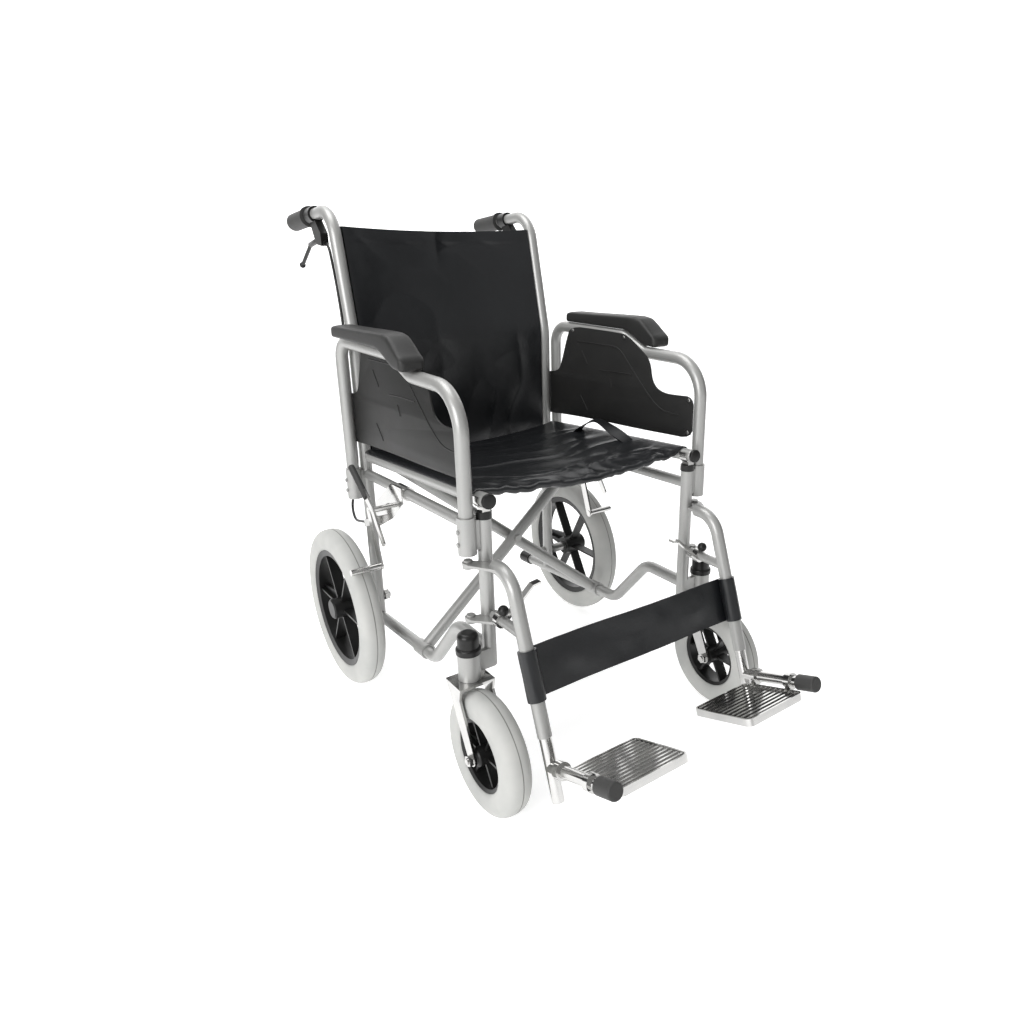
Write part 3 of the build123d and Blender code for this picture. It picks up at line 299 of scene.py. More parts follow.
# Moulded plastic with a pebbled grain, a little warmer where it is lighter
plastic = {"tint": (1.0, 0.99, 0.96), "cloudScale": 22, "dulling": 0.1, "specular": 0.3}


def makePlastic(name, dark, light, polish, grain, relief):
    paint = Paint(name)
    cloud = paint.noise(plastic["cloudScale"], detail=3)
    pebble = paint.cells(grain)
    colour = paint.mixColour(cloud, shade(dark), shade(light, plastic["tint"]))
    return paint.finish(Base_Color=colour, Roughness=polish + cloud * plastic["dulling"],
                        Specular_IOR_Level=plastic["specular"],
                        Normal=paint.bump(pebble, relief, distance=0.0004))


# Coated cloth: a fine leather grain over small creases
vinyl = {
    "dark": (0.005, (0.9, 1.0, 1.2)),
    "light": (0.010, (0.9, 1.0, 1.15)),
    "cloudScale": 7,
    "grainScale": 620,
    "creaseScale": 45,
    "polish": 0.24,
    "dulling": 0.16,
    "specular": 0.5,
    "grainRelief": 0.22,
    "creaseRelief": 0.25,
}


def makeVinyl():
    paint = Paint("blackVinyl")
    cloud = paint.noise(vinyl["cloudScale"], detail=4)
    grain = paint.cells(vinyl["grainScale"], "SMOOTH_F1")
    crease = paint.noise(vinyl["creaseScale"], detail=5, roughness=0.6)
    creased = paint.bump(crease, vinyl["creaseRelief"], distance=0.0015)
    colour = paint.mixColour(cloud, shade(*vinyl["dark"]), shade(*vinyl["light"]))
    return paint.finish(Base_Color=colour, Roughness=vinyl["polish"] + crease * vinyl["dulling"],
                        Specular_IOR_Level=vinyl["specular"],
                        Normal=paint.bump(grain, vinyl["grainRelief"], distance=0.0005,
                                          under=creased))


finishes = {
    "silver_paint": makeSilverPaint(),
    "chrome": makeMetal("chrome", chrome),
    "chrome_plate": makeMetal("chromePlate", chrome),
    "zinc_steel": makeMetal("zincPlate", zinc),
    "grey_tyre": makeTyreGrey(),
    "black_wheel": makePlastic("wheelPlastic", dark=0.005, light=0.010, polish=0.34, grain=900,
                               relief=0.08),
    "black_plastic": makePlastic("capPlastic", dark=0.006, light=0.011, polish=0.26, grain=1100,
                                 relief=0.06),
    "black_panel": makePlastic("panelPlastic", dark=0.012, light=0.018, polish=0.42, grain=700,
                               relief=0.25),
    "black_pad": makePlastic("padSkin", dark=0.016, light=0.024, polish=0.42, grain=850,
                             relief=0.2),
    "black_grip": makePlastic("gripRubber", dark=0.03, light=0.045, polish=0.5, grain=700,
                              relief=0.3),
    "black_vinyl": makeVinyl(),
}
for part in frame["record"]["subparts"]:
    solid = bpy.data.objects[part["node"]]
    finish = finishes[part["material_slot"]]
    if not solid.material_slots:
        solid.data.materials.append(finish)
    for holder in solid.material_slots:
        holder.material = finish
print("finishes ready")

# The frame that the other pieces fit on, in metres and degrees
chair = {
    "axleY": 0.25564,
    "frameHalf": 0.208,
    "foldTilt": 4,
    "railRise": 0.17069,
    "foldCentre": (0.07364, 0.29834),
    "rake": 19.5,
}


def foldPoint(across, ahead, rise):
    # Ahead runs forward along the seat rails from the pivot bolt, and rise is square to them
    tilt = radians(chair["foldTilt"])
    y, z = chair["foldCentre"]
    return Vector((across, y - ahead * cos(tilt) + rise * sin(tilt),
                   z + ahead * sin(tilt) + rise * cos(tilt)))


def sidePoint(side, across, ahead, height):
    # Across is in metres. Ahead and height are in millimetres, from the rear axle and the floor.
    return (sides[side] * across, chair["axleY"] - ahead / 1000, height / 1000)


def ease(value, start, end):
    share = min(1, max(0, (value - start) / (end - start)))
    return share * share * (3 - 2 * share)


def squared(value, squareness):
    # A cosine or a sine drawn out, so that a circle turns into a rounded square
    return abs(value) ** (2 / squareness) * (1 if value > 0 else -1)


def ripple(x, y, seed):
    return noise.noise(Vector((x, y, seed)))


def folds(x, y, fold):
    # The height of one set of folds at a place in millimetres: sharp ridges with soft valleys
    # above and below their level, or else soft swells. A bend makes the ridges wander.
    across = x * fold["rates"][0] + y * fold.get("slant", 0)
    along = y * fold["rates"][1]
    if "bendAcross" in fold:
        size, rate, seed = fold["bendAcross"]
        across += size * ripple(y * rate, x * rate, seed)
    if "bendAlong" in fold:
        size, rate, seed = fold["bendAlong"]
        along += size * ripple(x * rate, y * rate, seed)
    swell = ripple(across, along, fold["seed"])
    if "level" in fold:
        return fold["height"] * ((1 - abs(swell)) ** 4 - fold["level"])
    return fold["height"] * swell


# Mesh tools that the pieces share
def alone(piece):
    bpy.ops.object.select_all(action="DESELECT")
    piece.select_set(True)
    bpy.context.view_layer.objects.active = piece


def placed(name, shape):
    piece = bpy.data.objects.new(name, shape)
    bpy.context.collection.objects.link(piece)
    alone(piece)
    return piece


def modified(piece, kind, **settings):
    alone(piece)
    change = piece.modifiers.new(kind.lower(), kind)
    for key, value in settings.items():
        setattr(change, key, value)
    bpy.ops.object.modifier_apply(modifier=change.name)


def bevelled(piece, width, segments=3):
    modified(piece, "BEVEL", width=width, segments=segments, limit_method="ANGLE",
             angle_limit=radians(40))


def facedOut(piece):
    alone(piece)
    bpy.ops.object.mode_set(mode="EDIT")
    bpy.ops.mesh.select_all(action="SELECT")
    bpy.ops.mesh.normals_make_consistent(inside=False)
    bpy.ops.object.mode_set(mode="OBJECT")


def rod(name, start, end, radius, facets=32, edge=0.0):
    start, end = Vector(start), Vector(end)
    bpy.ops.object.select_all(action="DESELECT")
    bpy.ops.mesh.primitive_cylinder_add(vertices=facets, radius=radius, depth=(end - start).length,
                                        location=(start + end) / 2,
                                        rotation=(end - start).to_track_quat("Z", "Y").to_euler())
    piece = bpy.context.object
    piece.name = name
    bpy.ops.object.transform_apply(location=True, rotation=True, scale=True)
    if edge:
        bevelled(piece, edge)
    return piece


def ball(name, centre, radius):
    bpy.ops.object.select_all(action="DESELECT")
    bpy.ops.mesh.primitive_uv_sphere_add(segments=32, ring_count=16, radius=radius, location=centre)
    piece = bpy.context.object
    piece.name = name
    bpy.ops.object.transform_apply(location=True, rotation=True, scale=True)
    return piece


def joined(name, pieces):
    bpy.ops.object.select_all(action="DESELECT")
    for piece in pieces:
        piece.select_set(True)
    bpy.context.view_layer.objects.active = pieces[0]
    bpy.ops.object.join()
    pieces[0].name = name
    return pieces[0]


def line(name, points, radius):
    # A raised line along points
    curve = bpy.data.curves.new(name, "CURVE")
    curve.dimensions = "3D"
    curve.bevel_depth = radius
    curve.bevel_resolution = 2
    curve.use_fill_caps = True
    spline = curve.splines.new("POLY")
    spline.points.add(len(points) - 1)
    for knot, point in zip(spline.points, points):
        knot.co = (*point, 1)
    placed(name, curve)
    bpy.ops.object.convert(target="MESH")
    return bpy.context.object


def turned(name, profile, centre, steps=96):
    # A closed outline of (across, radius) turned about an axle along X
    shape = bpy.data.meshes.new(name)
    x, y, z = centre
    shape.from_pydata([(x + across, y, z + radius) for across, radius in profile],
                      [(i, (i + 1) % len(profile)) for i in range(len(profile))], [])
    piece = placed(name, shape)
    bpy.ops.object.mode_set(mode="EDIT")
    bpy.ops.mesh.select_all(action="SELECT")
    bpy.ops.mesh.spin(steps=steps, angle=2 * pi, center=centre, axis=(1, 0, 0))
    bpy.ops.mesh.select_all(action="SELECT")
    bpy.ops.mesh.remove_doubles(threshold=0.00001)
    bpy.ops.object.mode_set(mode="OBJECT")
    facedOut(piece)
    return piece


def gridFaces(rows, columns, width):
    # Four-sided faces between rows of points, each width points long, that may close on themselves
    return [(row * width + column, row * width + (column + 1) % width,
             (row + 1) * width + (column + 1) % width, (row + 1) * width + column)
            for row in range(rows) for column in range(columns)]


def weave(name, place, slot, grid, thickness):
    # A cloth as a grid of faces, with its thickness and its own UV map, one unit a metre. The
    # size that it gives back is measured on the shaped cloth, along its middle row and column.
    columns, rows = grid
    points = [[place(column / columns, row / rows) for column in range(columns + 1)]
              for row in range(rows + 1)]
    cloth = bpy.data.meshes.new(name)
    width = columns + 1
    cloth.from_pydata([point for row in points for point in row], [],
                      gridFaces(rows, columns, width))
    middle = points[rows // 2]
    length = sum((b - a).length for a, b in zip(middle, middle[1:]))
    depth = sum((b[columns // 2] - a[columns // 2]).length for a, b in zip(points, points[1:]))
    layer = cloth.uv_layers.new(name="cloth")
    for corner in cloth.loops:
        row, column = divmod(corner.vertex_index, width)
        layer.data[corner.index].uv = (column / columns * length, row / rows * depth)
    piece = placed(name, cloth)
    piece.data.materials.append(finishes[slot])
    modified(piece, "SOLIDIFY", thickness=thickness, offset=0)
    bpy.ops.object.shade_smooth_by_angle(angle=radians(50))
    return piece, (length, depth)


def dress(piece, slot, body, *nodes, angle=35):
    alone(piece)
    piece.data.materials.clear()
    piece.data.materials.append(finishes[slot])
    bpy.ops.object.shade_smooth_by_angle(angle=radians(angle))
    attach(piece, body)
    if nodes:
        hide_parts(*nodes)


def smoothed(points, rounds):
    # Corner cutting on a closed outline
    for _ in range(rounds):
        points = [
            tuple(a + share * (b - a) for a, b in zip(first, second))
            for first, second in zip(points, points[1:] + points[:1])
            for share in (0.25, 0.75)
        ]
    return points


# Armrest pads: foam under a moulded skin, set outboard of their tubes
pad = {
    "centre": 0.2475,
    "halfWidth": 0.0205,
    "rear": 0.050,
    "front": 0.333,
    # Points of (ahead, height) in metres
    "top": [(0.050, 0.7045), (0.070, 0.7075), (0.268, 0.7130), (0.285, 0.7105), (0.333, 0.6800)],
    "under": [(0.050, 0.6865), (0.236, 0.6865), (0.250, 0.6845), (0.300, 0.6625), (0.333, 0.6615)],
    "easing": 0.35,
    "endRound": 0.009,
    "endDrop": 0.7,
    "crown": 0.0008,
    "stations": 120,
    "around": 56,
    "squareness": 5.5,
}


def padHeight(table, at):
    # The height at a place between the table's points, eased a little towards each
    for (x0, y0), (x1, y1) in zip(table, table[1:]):
        if at <= x1:
            straight = max(0, at - x0) / (x1 - x0)
            share = straight + pad["easing"] * (ease(at, x0, x1) - straight)
            return y0 + (y1 - y0) * share
    return table[-1][1]


def padRing(side, ahead):
    top, under = padHeight(pad["top"], ahead), padHeight(pad["under"], ahead)
    edge = min(ahead - pad["rear"], pad["front"] - ahead)
    inset = 0
    if edge < pad["endRound"]:
        inset = pad["endRound"] - (pad["endRound"] ** 2 - (pad["endRound"] - edge) ** 2) ** 0.5
    halfWidth = pad["halfWidth"] - inset
    halfHeight = (top - under) / 2 - pad["endDrop"] * inset
    ring = []
    for step in range(pad["around"]):
        turn = 2 * pi * step / pad["around"]
        across = halfWidth * squared(cos(turn), pad["squareness"])
        height = (top + under) / 2 + halfHeight * squared(sin(turn), pad["squareness"])
        if sin(turn) > 0:
            height += pad["crown"] * (1 - (across / pad["halfWidth"]) ** 2)
        ring.append((sides[side] * (pad["centre"] + across), chair["axleY"] - ahead, height))
    return ring


def makePad(side):
    stations, around = pad["stations"], pad["around"]
    points = []
    for station in range(stations + 1):
        share = (1 - cos(pi * station / stations)) / 2
        points += padRing(side, pad["rear"] + share * (pad["front"] - pad["rear"]))
    ends = [range(around), range((stations + 1) * around - 1, stations * around - 1, -1)]
    skin = bpy.data.meshes.new("armrestPad")
    skin.from_pydata(points, [], gridFaces(stations, around, around) + ends)
    piece = placed("armrestPad" + sideNames[side], skin)
    facedOut(piece)
    dress(piece, "black_pad", f"armrest_{side}", f"armrest_pad_{side}", angle=45)


# Side panels: moulded plates on the inboard side of the armrest tubes, with pressed lines
panel = {
    "face": 0.2210,
    "thickness": 0.0033,
    "edge": 0.0008,
    # Outline, lines and screws are points of (ahead, height) in millimetres
    "outline": [
        (78, 680), (160, 681), (243, 681), (262, 678), (300, 657), (322, 644), (331, 628),
        (334, 610), (342, 596), (356, 588), (374, 585), (400, 586), (446, 590), (446, 550),
        (446, 514), (380, 510), (305, 505), (200, 500), (114, 495), (50, 490), (10, 486),
        (-8, 485), (-8, 530), (-8, 576), (12, 578), (30, 583), (40, 592), (50, 615), (64, 652),
    ],
    "lines": [
        [(104, 652), (160, 653), (216, 654), (232, 653), (247, 646), (272, 624), (302, 597),
         (326, 577), (346, 563), (360, 556), (374, 552), (396, 551), (414, 552)],
        [(118, 635), (128, 622), (138, 609)],
        [(178, 602), (228, 605), (278, 606)],
        [(211, 590), (215, 581), (218, 572)],
        [(114, 541), (126, 528), (138, 514)],
    ],
    "lineRadius": 0.0011,
    "screws": [(253, 674), (436, 582), (436, 524), (88, 672)],
    "screwRadius": 0.0035,
    "screwEdge": 0.0008,
    "screwHead": 0.0016,
    "screwSink": 0.001,
}


def makePanel(side):
    face, thickness = panel["face"], panel["thickness"]
    outline = smoothed(panel["outline"], 2)
    bpy.ops.object.select_all(action="DESELECT")
    bpy.ops.mesh.primitive_circle_add(vertices=len(outline), radius=1, fill_type="NGON")
    plate = bpy.context.object
    for vertex, (ahead, height) in zip(plate.data.vertices, outline):
        vertex.co = sidePoint(side, face + thickness / 2, ahead, height)
    modified(plate, "SOLIDIFY", thickness=thickness, offset=0)
    facedOut(plate)
    bevelled(plate, panel["edge"], 2)
    pressed = [
        line("pressedLine", [sidePoint(side, across, *point) for point in points],
             panel["lineRadius"])
        for across in (face, face + thickness) for points in panel["lines"]
    ]
    whole = joined("sidePanel" + sideNames[side], [plate, *pressed])
    dress(whole, "black_panel", f"armrest_{side}", f"side_panel_{side}", angle=30)
    for index, (ahead, height) in enumerate(panel["screws"]):
        head = rod(f"panelScrew{sideNames[side]}{index}",
                   sidePoint(side, face - panel["screwHead"], ahead, height),
                   sidePoint(side, face + panel["screwSink"], ahead, height),
                   panel["screwRadius"], 24, panel["screwEdge"])
        dress(head, "zinc_steel", f"armrest_{side}")


# Solid tyres, with the seam of their mould round the tread
tyre = {
    "steps": 40,
    "squareness": 2.5,
    "seamWidth": 0.0012,
    "seamDepth": 0.0007,
    # Points of (inset, rise) from the rim
    "bead": [(0.0005, 0.006), (0.003, 0.0015), (0.005, 0)],
}
wheels = {
    "rearTyre": {"node": "rear_tyre", "body": "rear_wheel", "across": 0.277, "ahead": 0,
                 "halfWidth": 0.022, "radius": 0.1565, "rim": 0.1172},
    "casterTyre": {"node": "caster_tyre", "body": "caster_wheel", "across": 0.2485, "ahead": 0.510,
                   "halfWidth": 0.0225, "radius": 0.1, "rim": 0.0587},
}


def makeTyre(kind, side):
    wheel = wheels[kind]
    half, top, rim = wheel["halfWidth"], wheel["radius"], wheel["rim"]
    seam = tyre["seamWidth"] / 2
    profile = []
    for step in range(tyre["steps"] + 1):
        turn = pi * step / tyre["steps"]
        across = -half * squared(cos(turn), tyre["squareness"])
        if abs(across) > 2 * seam:
            profile.append((across, top - half + half * squared(sin(turn), tyre["squareness"])))
    middle = len(profile) // 2
    profile[middle:middle] = [(-2 * seam, top), (-seam, top), (0, top - tyre["seamDepth"]),
                              (seam, top), (2 * seam, top)]
    profile += [(half - inset, rim + rise) for inset, rise in tyre["bead"]]
    profile += [(inset - half, rim + rise) for inset, rise in reversed(tyre["bead"])]
    centre = (sides[side] * wheel["across"], chair["axleY"] - wheel["ahead"], wheel["radius"])
    piece = turned(kind + sideNames[side], profile, centre)
    dress(piece, "grey_tyre", f"{wheel['body']}_{side}", f"{wheel['node']}_{side}", angle=40)


# Brake levers, black with a ball at the tip. Places are (ahead, height) in metres.
lever = {
    "pivot": (-0.1235, 0.8462),
    "knee": (-0.1795, 0.8352),
    "tip": (-0.2415, 0.7962),
    "root": 0.0050,
    "rootEdge": 0.002,
    "arm": 0.0036,
    "ball": 0.006,
}


def makeLever(side):
    def at(name):
        ahead, height = lever[name]
        return (sides[side] * chair["frameHalf"], chair["axleY"] - ahead, height)

    piece = joined("brakeLever" + sideNames[side], [
        rod("root", at("pivot"), at("knee"), lever["root"], 24, lever["rootEdge"]),
        rod("arm", at("knee"), at("tip"), lever["arm"], 24),
        ball("knee", at("knee"), lever["root"]),
        ball("tip", at("tip"), lever["ball"]),
    ])
    dress(piece, "black_plastic", f"hand_lever_{side}", f"brake_lever_{side}")


# Small trim: caps on the seat rails, and the knobs of the leg rest latches
trim = {
    "railBody": {"r": "brace_b", "l": "brace_a"},
    "railEnd": 0.2986,
    "capRadius": 0.0116,
    "capLength": 0.006,
    "capSink": 0.0015,
    "capEdge": 0.0022,
    "knobRadius": 0.0085,
    # Across in metres, then ahead and height in millimetres
    "knobPlace": (0.208, 500, 326),
}


def makeTrim(side):
    across = sides[side] * chair["frameHalf"]
    cap = rod("railCap" + sideNames[side],
              foldPoint(across, trim["railEnd"] - trim["capSink"], chair["railRise"]),
              foldPoint(across, trim["railEnd"] + trim["capLength"], chair["railRise"]),
              trim["capRadius"], 40, trim["capEdge"])
    dress(cap, "black_plastic", trim["railBody"][side])
    knob = ball("latchKnob" + sideNames[side], sidePoint(side, *trim["knobPlace"]),
                trim["knobRadius"])
    dress(knob, "black_plastic", f"latch_{side}")


for side in sides:
    makePad(side)
    makePanel(side)
    makeLever(side)
    makeTrim(side)
    for kind in wheels:
        makeTyre(kind, side)
print("pads, panels, tyres, levers and trim ready")

# Seat: a sheet over both rails, with a rolled hem at the front and at the rear
seat = {
    "hemAngle": 40,
    "wrap": 0.0128,
    "sag": 0.018,
    "front": 0.2726,
    "rear": -0.1435,
    "hemRadius": 0.0045,
    "hemTuck": 0.022,
    "thickness": 0.0022,
    "grid": (150, 150),
    "blendPlace": (0.188, 0.17),
    "edgeReach": 0.22,
    "hemReach": 0.1,
    "frontZone": (0.12, 0.26),
    "puckerZone": (0.24, 0.268),
    "folds": [
        {"height": 0.0035, "rates": (0.006, 0.008), "seed": 3.1},
        {"height": 0.0034, "rates": (0.004, 0.019), "seed": 5.4, "level": 0.35,
         "bendAlong": (0.5, 0.01, 9.2)},
    ],
    "frontFolds": [
        {"height": 0.0052, "rates": (0.010, 0.02), "seed": 7.7, "level": 0.4,
         "bendAcross": (0.4, 0.02, 1.7)},
        {"height": 0.0024, "rates": (0.05, 0.03), "seed": 2.2},
    ],
    "pucker": {"height": 0.0022, "rates": (0.045, 0.01), "seed": 3.3, "level": 0.5},
    "wander": 0.005,
    "wanderRate": 0.017,
    "wanderSeed": (0.3, 8.1),
}


def seatSag(lateral):
    # How high the sagging cloth lies, from -1 on the right rail to 1 on the left
    return chair["railRise"] + seat["wrap"] - seat["sag"] * (1 - lateral * lateral)


def seatPlace(u, v):
    hem = seat["wrap"] * radians(90 - seat["hemAngle"])
    span = 2 * chair["frameHalf"]
    travel = u * (span + 2 * hem) - hem
    if travel < 0 or travel > span:
        lateral = -1 if travel < 0 else 1
        turn = (-travel if travel < 0 else travel - span) / seat["wrap"]
        across = lateral * (chair["frameHalf"] + seat["wrap"] * sin(turn))
        rise = chair["railRise"] + seat["wrap"] * cos(turn)
    else:
        across = travel - chair["frameHalf"]
        lateral = across / chair["frameHalf"]
        rise = seatSag(lateral)
    # The roll of the hems takes the first and last stretch of the cloth
    roll = pi * seat["hemRadius"] + seat["hemTuck"]
    length = seat["front"] - seat["rear"] - 2 * seat["hemRadius"]
    run = v * (length + 2 * roll) - roll
    inward = 1 - abs(lateral)
    hold = ease(inward, 0, seat["edgeReach"])
    ahead = min(max(run, 0), length) + seat["rear"] + seat["hemRadius"]
    beyond = max(-run, run - length, 0)
    if beyond > 0:
        way = -1 if run < 0 else 1
        turn = min(beyond / seat["hemRadius"], pi)
        under = max(0, beyond - pi * seat["hemRadius"])
        ahead += way * (seat["hemRadius"] * sin(turn) - under)
        rise -= seat["hemRadius"] * (1 - cos(turn)) * ease(inward, 0, seat["hemReach"])
    frontness = ease(ahead, *seat["frontZone"])
    x, y = across * 1000, ahead * 1000
    lift = sum(folds(x, y, fold) for fold in seat["folds"])
    lift += frontness * sum(folds(x, y, fold) for fold in seat["frontFolds"])
    lift += ease(ahead, *seat["puckerZone"]) * folds(x, y, seat["pucker"])
    wander = seat["wander"] * ripple(x * seat["wanderRate"], *seat["wanderSeed"])
    ahead += hold * frontness * wander
    return foldPoint(across, ahead, rise + hold * lift)


def makeSeat():
    seatSling, flat = weave("seatSling", seatPlace, "black_vinyl", seat["grid"], seat["thickness"])
    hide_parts("seat_sling")
    across, rise = seat["blendPlace"]
    foldPoint(across, 0, rise)
    foldPoint(-across, 0, rise)
    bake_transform(seatSling)


# Backrest: a sheet between the canes, with a stitched hem along its top
back = {
    "edge": 0.1952,
    "flange": 0.0135,
    "frontOffset": -0.005,
    "sag": 0.020,
    "bottom": 0.437,
    "top": 0.868,
    "bend": 0.666,
    "bendReach": 0.0135,
    "lean": 52 / 232,
    "thickness": 0.0022,
    "grid": (120, 120),
    "edgeReach": 0.2,
    "lowZone": (0.50, 0.74),
    "highZone": (0.74, 0.86),
    "topDip": 0.006,
    "dipZone": (0.80, 0.868),
    "dent": 0.0030,
    "dentPlace": -10,
    "dentReach": 26,
    "dentZone": (0.78, 0.86),
    "hemDepth": 0.024,
    "hemStep": 0.0025,
    "hemSink": 0.0009,
    "foldAnchor": (0.28, 0.67),
    "foldKeep": 0.4,
    "folds": [
        {"height": 0.004, "rates": (0.006, 0.005), "seed": 4.2},
        {"height": 0.0016, "rates": (0.006, 0.011), "seed": 12.3, "level": 0.35},
    ],
    "lowFolds": {"height": 0.0034, "rates": (0.012, 0.0035), "seed": 6.6, "level": 0.35,
                 "bendAcross": (0.3, 0.01, 1.1)},
    "highFolds": {"height": 0.003, "rates": (0.008, 0.009), "slant": 0.004, "seed": 2.9,
                  "level": 0.35},
}


def caneOffset(z):
    # How far back the cane's centre line lies at a height, with its bend eased
    past = z - back["bend"]
    reach = back["bendReach"]
    if past <= -reach:
        return 0
    if past >= reach:
        return past * back["lean"]
    return back["lean"] * (past + reach) ** 2 / (4 * reach)


def backPlace(u, v):
    half = back["edge"]
    flange = back["flange"]
    path = 2 * half + 2 * flange
    travel = u * path
    behind = back["frontOffset"]
    if travel < flange:
        across = -half
        behind += flange - travel
    elif travel > path - flange:
        across = half
        behind += flange - (path - travel)
    else:
        across = travel - flange - half
        behind += back["sag"] * (1 - (across / half) ** 2)
    inward = 1 - abs(across) / half
    z = back["bottom"] + v * (back["top"] - back["bottom"])
    x, y = across * 1000, z * 1000
    push = sum(folds(x, y, fold) for fold in back["folds"])
    push += (1 - ease(z, *back["lowZone"])) * folds(x, y, back["lowFolds"])
    push += ease(z, *back["highZone"]) * folds(x, y, back["highFolds"])
    dented = max(0, 1 - abs(x - back["dentPlace"]) / back["dentReach"]) ** 2
    push -= back["dent"] * ease(z, *back["dentZone"]) * dented
    hemLine = back["top"] - back["hemDepth"]
    push -= back["hemSink"] * ease(z, hemLine, hemLine + back["hemStep"])
    behind += ease(inward, 0, back["edgeReach"]) * push
    z -= back["topDip"] * ease(z, *back["dipZone"]) * (1 - (1 - inward) ** 2)
    return Vector((across, chair["axleY"] + caneOffset(z) + behind, z))


def makeBack():
    backSling, flat = weave("backSling", backPlace, "black_vinyl", back["grid"], back["thickness"])
    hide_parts("backrest_sling")
    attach(backSling, "right_frame")
    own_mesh(backSling)


# Calf strap: a band behind the leg tubes, with a sleeve round each
strap = {
    "height": 0.076,
    "centre": (0.5746, 0.252),
    "wrap": 0.0128,
    "thickness": 0.0026,
    "bandGrid": (140, 24),
    "edgeZone": (0.06, 0.3),
    "folds": [
        {"height": 0.0035, "rates": (0.008, 0.012), "seed": 5.5},
        {"height": 0.0012, "rates": (0.03, 0.03), "seed": 8.5},
    ],
    "wander": 0.0025,
    "wanderRate": 0.006,
    "wanderSeed": (0.7, 3.3),
    "sleeveGrid": (64, 24),
    "sleeveSwell": 0.0004,
    "sleeveRates": (2, 30),
    "sleeveSeed": 4.4,
    "foldAnchor": (-0.32, 0.25),
    "foldKeep": 0.4346,
}


def strapPoint(across, ahead, down):
    # Ahead is square to the raked leg tubes, and down runs along them
    rake = radians(chair["rake"])
    forward, z = strap["centre"]
    forward += ahead * cos(rake) + down * sin(rake)
    return Vector((across, chair["axleY"] - forward, z + ahead * sin(rake) - down * cos(rake)))


def bandPlace(u, v):
    across = (2 * u - 1) * chair["frameHalf"]
    down = (0.5 - v) * strap["height"]
    hold = ease(1 - abs(across) / chair["frameHalf"], *strap["edgeZone"])
    push = sum(folds(across * 1000, down * 1000, fold) for fold in strap["folds"])
    wander = strap["wander"] * ripple(across * 1000 * strap["wanderRate"], *strap["wanderSeed"])
    return strapPoint(across, hold * push - strap["wrap"], down + hold * wander)


def makeSleeve(side):
    aroundRate, downRate = strap["sleeveRates"]

    def sleevePlace(u, v):
        turn = 2 * pi * u
        down = (0.5 - v) * strap["height"]
        rough = ripple(cos(turn) * aroundRate, sin(turn) * aroundRate + down * downRate,
                       strap["sleeveSeed"] + sides[side])
        radius = strap["wrap"] + strap["sleeveSwell"] * rough
        return strapPoint(sides[side] * (chair["frameHalf"] + radius * sin(turn)),
                          -radius * cos(turn), down)

    sleeve, _ = weave("calfSleeve" + sideNames[side], sleevePlace, "black_vinyl",
                      strap["sleeveGrid"], strap["thickness"])
    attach(sleeve, f"hanger_{side}")
    return sleeve


def makeStrap():
    sleeves = [makeSleeve(side) for side in sides]
    calfStrap, flat = weave("calfStrap", bandPlace, "black_vinyl", strap["bandGrid"],
                            strap["thickness"])
    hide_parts("calf_strap")
    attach(calfStrap, "hanger_r")
    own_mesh(calfStrap)


# Lifting strap: a loop of webbing sewn on the left edge of the seat
loop = {
    "centre": 0.184,
    "width": 0.022,
    "rear": -0.020,
    "front": 0.150,
    "rise": 0.036,
    "archPower": 0.75,
    "archLean": 0.25,
    "sink": 0.003,
    "sway": 0.006,
    "twist": 0.004,
    "thickness": 0.002,
    "grid": (80, 8),
}


def loopPlace(u, v):
    ahead = loop["rear"] + u * (loop["front"] - loop["rear"])
    arch = sin(pi * u) ** loop["archPower"] * (1 - loop["archLean"] * u)
    across = loop["centre"] + (v - 0.5) * loop["width"] + loop["sway"] * sin(2 * pi * u)
    ground = seatSag(across / chair["frameHalf"])
    twist = loop["twist"] * (v - 0.5) * sin(3 * pi * u)
    return foldPoint(across, ahead, ground - loop["sink"] + loop["rise"] * arch + twist)


def makeLoop():
    strapLoop, flat = weave("liftingStrap", loopPlace, "black_vinyl", loop["grid"],
                            loop["thickness"])
    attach(strapLoop, "brace_a")


makeSeat()
makeBack()
makeStrap()
makeLoop()
print("soft goods ready")

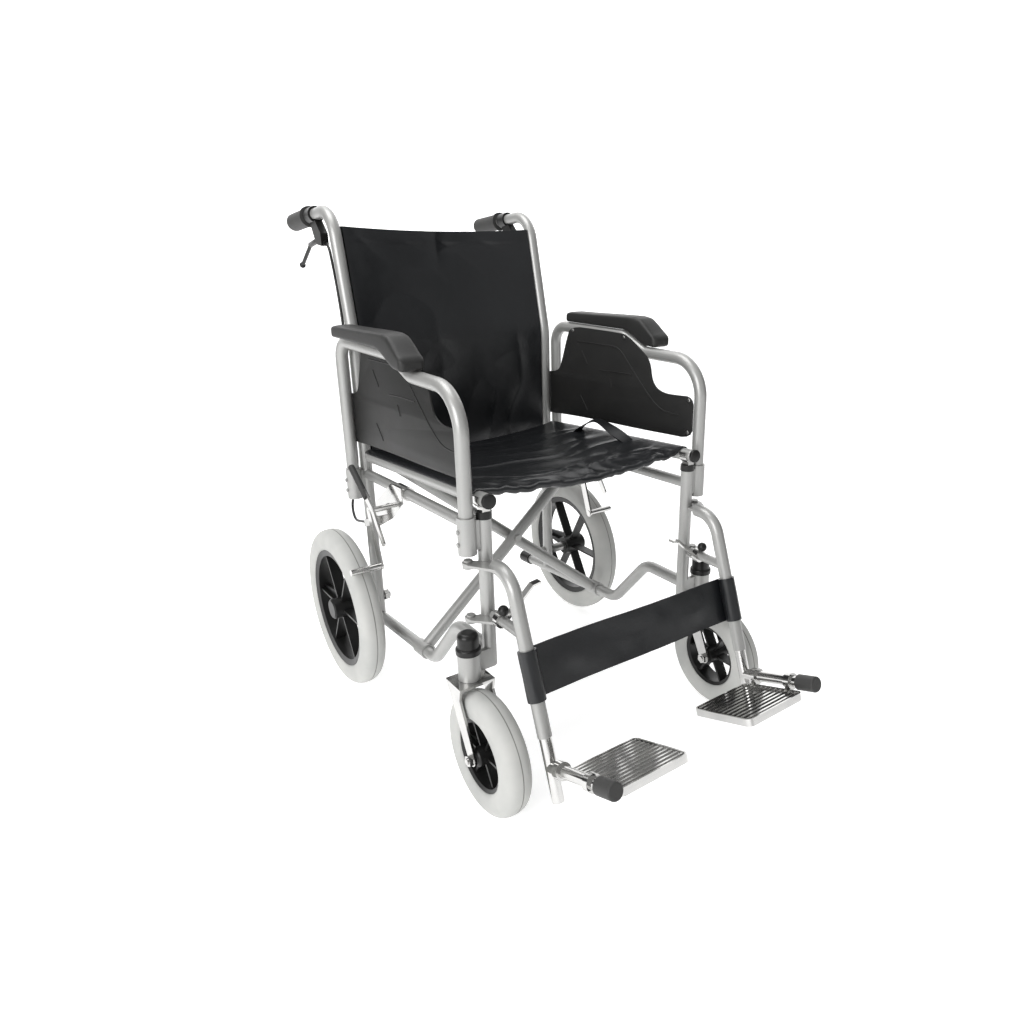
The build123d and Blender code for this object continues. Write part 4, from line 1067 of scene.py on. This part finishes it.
# Studio: a bright floor and wall, dark cards for the tubes to reflect, and two soft lights
studio = {
    "sky": 0.5,
    "floor": {"size": (24, 24), "shade": 0.93, "glow": 0.46},
    "wall": {"size": (22, 22), "place": (5.0, 6.3, 4.0), "shade": 0.9, "glow": 0.9},
    "card": {"shade": 0.03, "glow": 0},
    "cards": {
        "rightCard": {"place": (2.6, -1.2, 1.2), "size": (3.2, 2.4), "turn": 75},
        "rearCard": {"place": (-2.2, 2.2, 1.1), "size": (2.0, 2.2), "turn": -130},
    },
    "lights": {
        "topSoftbox": {"place": (-0.5, 0.5, 2.9), "aim": (0, 0, 0.4), "size": 1.8, "power": 46},
        "leftSoftbox": {"place": (-3.0, -1.2, 1.7), "aim": (0, 0, 0.5), "size": 2.0, "power": 85},
    },
}


def standPlane(name, size, look, place=(0, 0, 0), turns=(0, 0, 0)):
    bpy.ops.object.select_all(action="DESELECT")
    bpy.ops.mesh.primitive_plane_add(size=1, location=place,
                                     rotation=[radians(turn) for turn in turns])
    plane = bpy.context.object
    plane.name = name
    plane.scale = (*size, 1)
    bpy.ops.object.transform_apply(location=True, rotation=True, scale=True)
    paint = Paint(name)
    paint.finish(Base_Color=shade(look["shade"]), Roughness=0.9, Emission_Color=shade(1),
                 Emission_Strength=look["glow"])
    plane.data.materials.append(paint.material)
    return plane


def hangLight(name, light):
    lamp = bpy.data.lights.new(name, "AREA")
    lamp.shape = "RECTANGLE"
    lamp.size = lamp.size_y = light["size"]
    lamp.energy = light["power"]
    box = placed(name, lamp)
    box.location = light["place"]
    ray = Vector(light["aim"]) - Vector(light["place"])
    box.rotation_euler = ray.to_track_quat("-Z", "Y").to_euler()


def lightSky():
    world = bpy.data.worlds.new("studioSky")
    world.use_nodes = True
    sky = world.node_tree.nodes["Background"]
    sky.inputs["Color"].default_value = shade(1)
    sky.inputs["Strength"].default_value = studio["sky"]
    scene = bpy.context.scene
    scene.world = world
    scene.view_settings.view_transform = "Standard"
    scene.view_settings.look = "None"


floor, wall = studio["floor"], studio["wall"]
standPlane("studioFloor", floor["size"], floor)
standPlane("studioWall", wall["size"], wall, wall["place"], (90, 0, -photo["yaw"]))
for name, card in studio["cards"].items():
    stood = standPlane(name, card["size"], studio["card"], card["place"], (90, 0, card["turn"]))
    stood.visible_camera = False
for name, light in studio["lights"].items():
    hangLight(name, light)
lightSky()
print("studio ready")
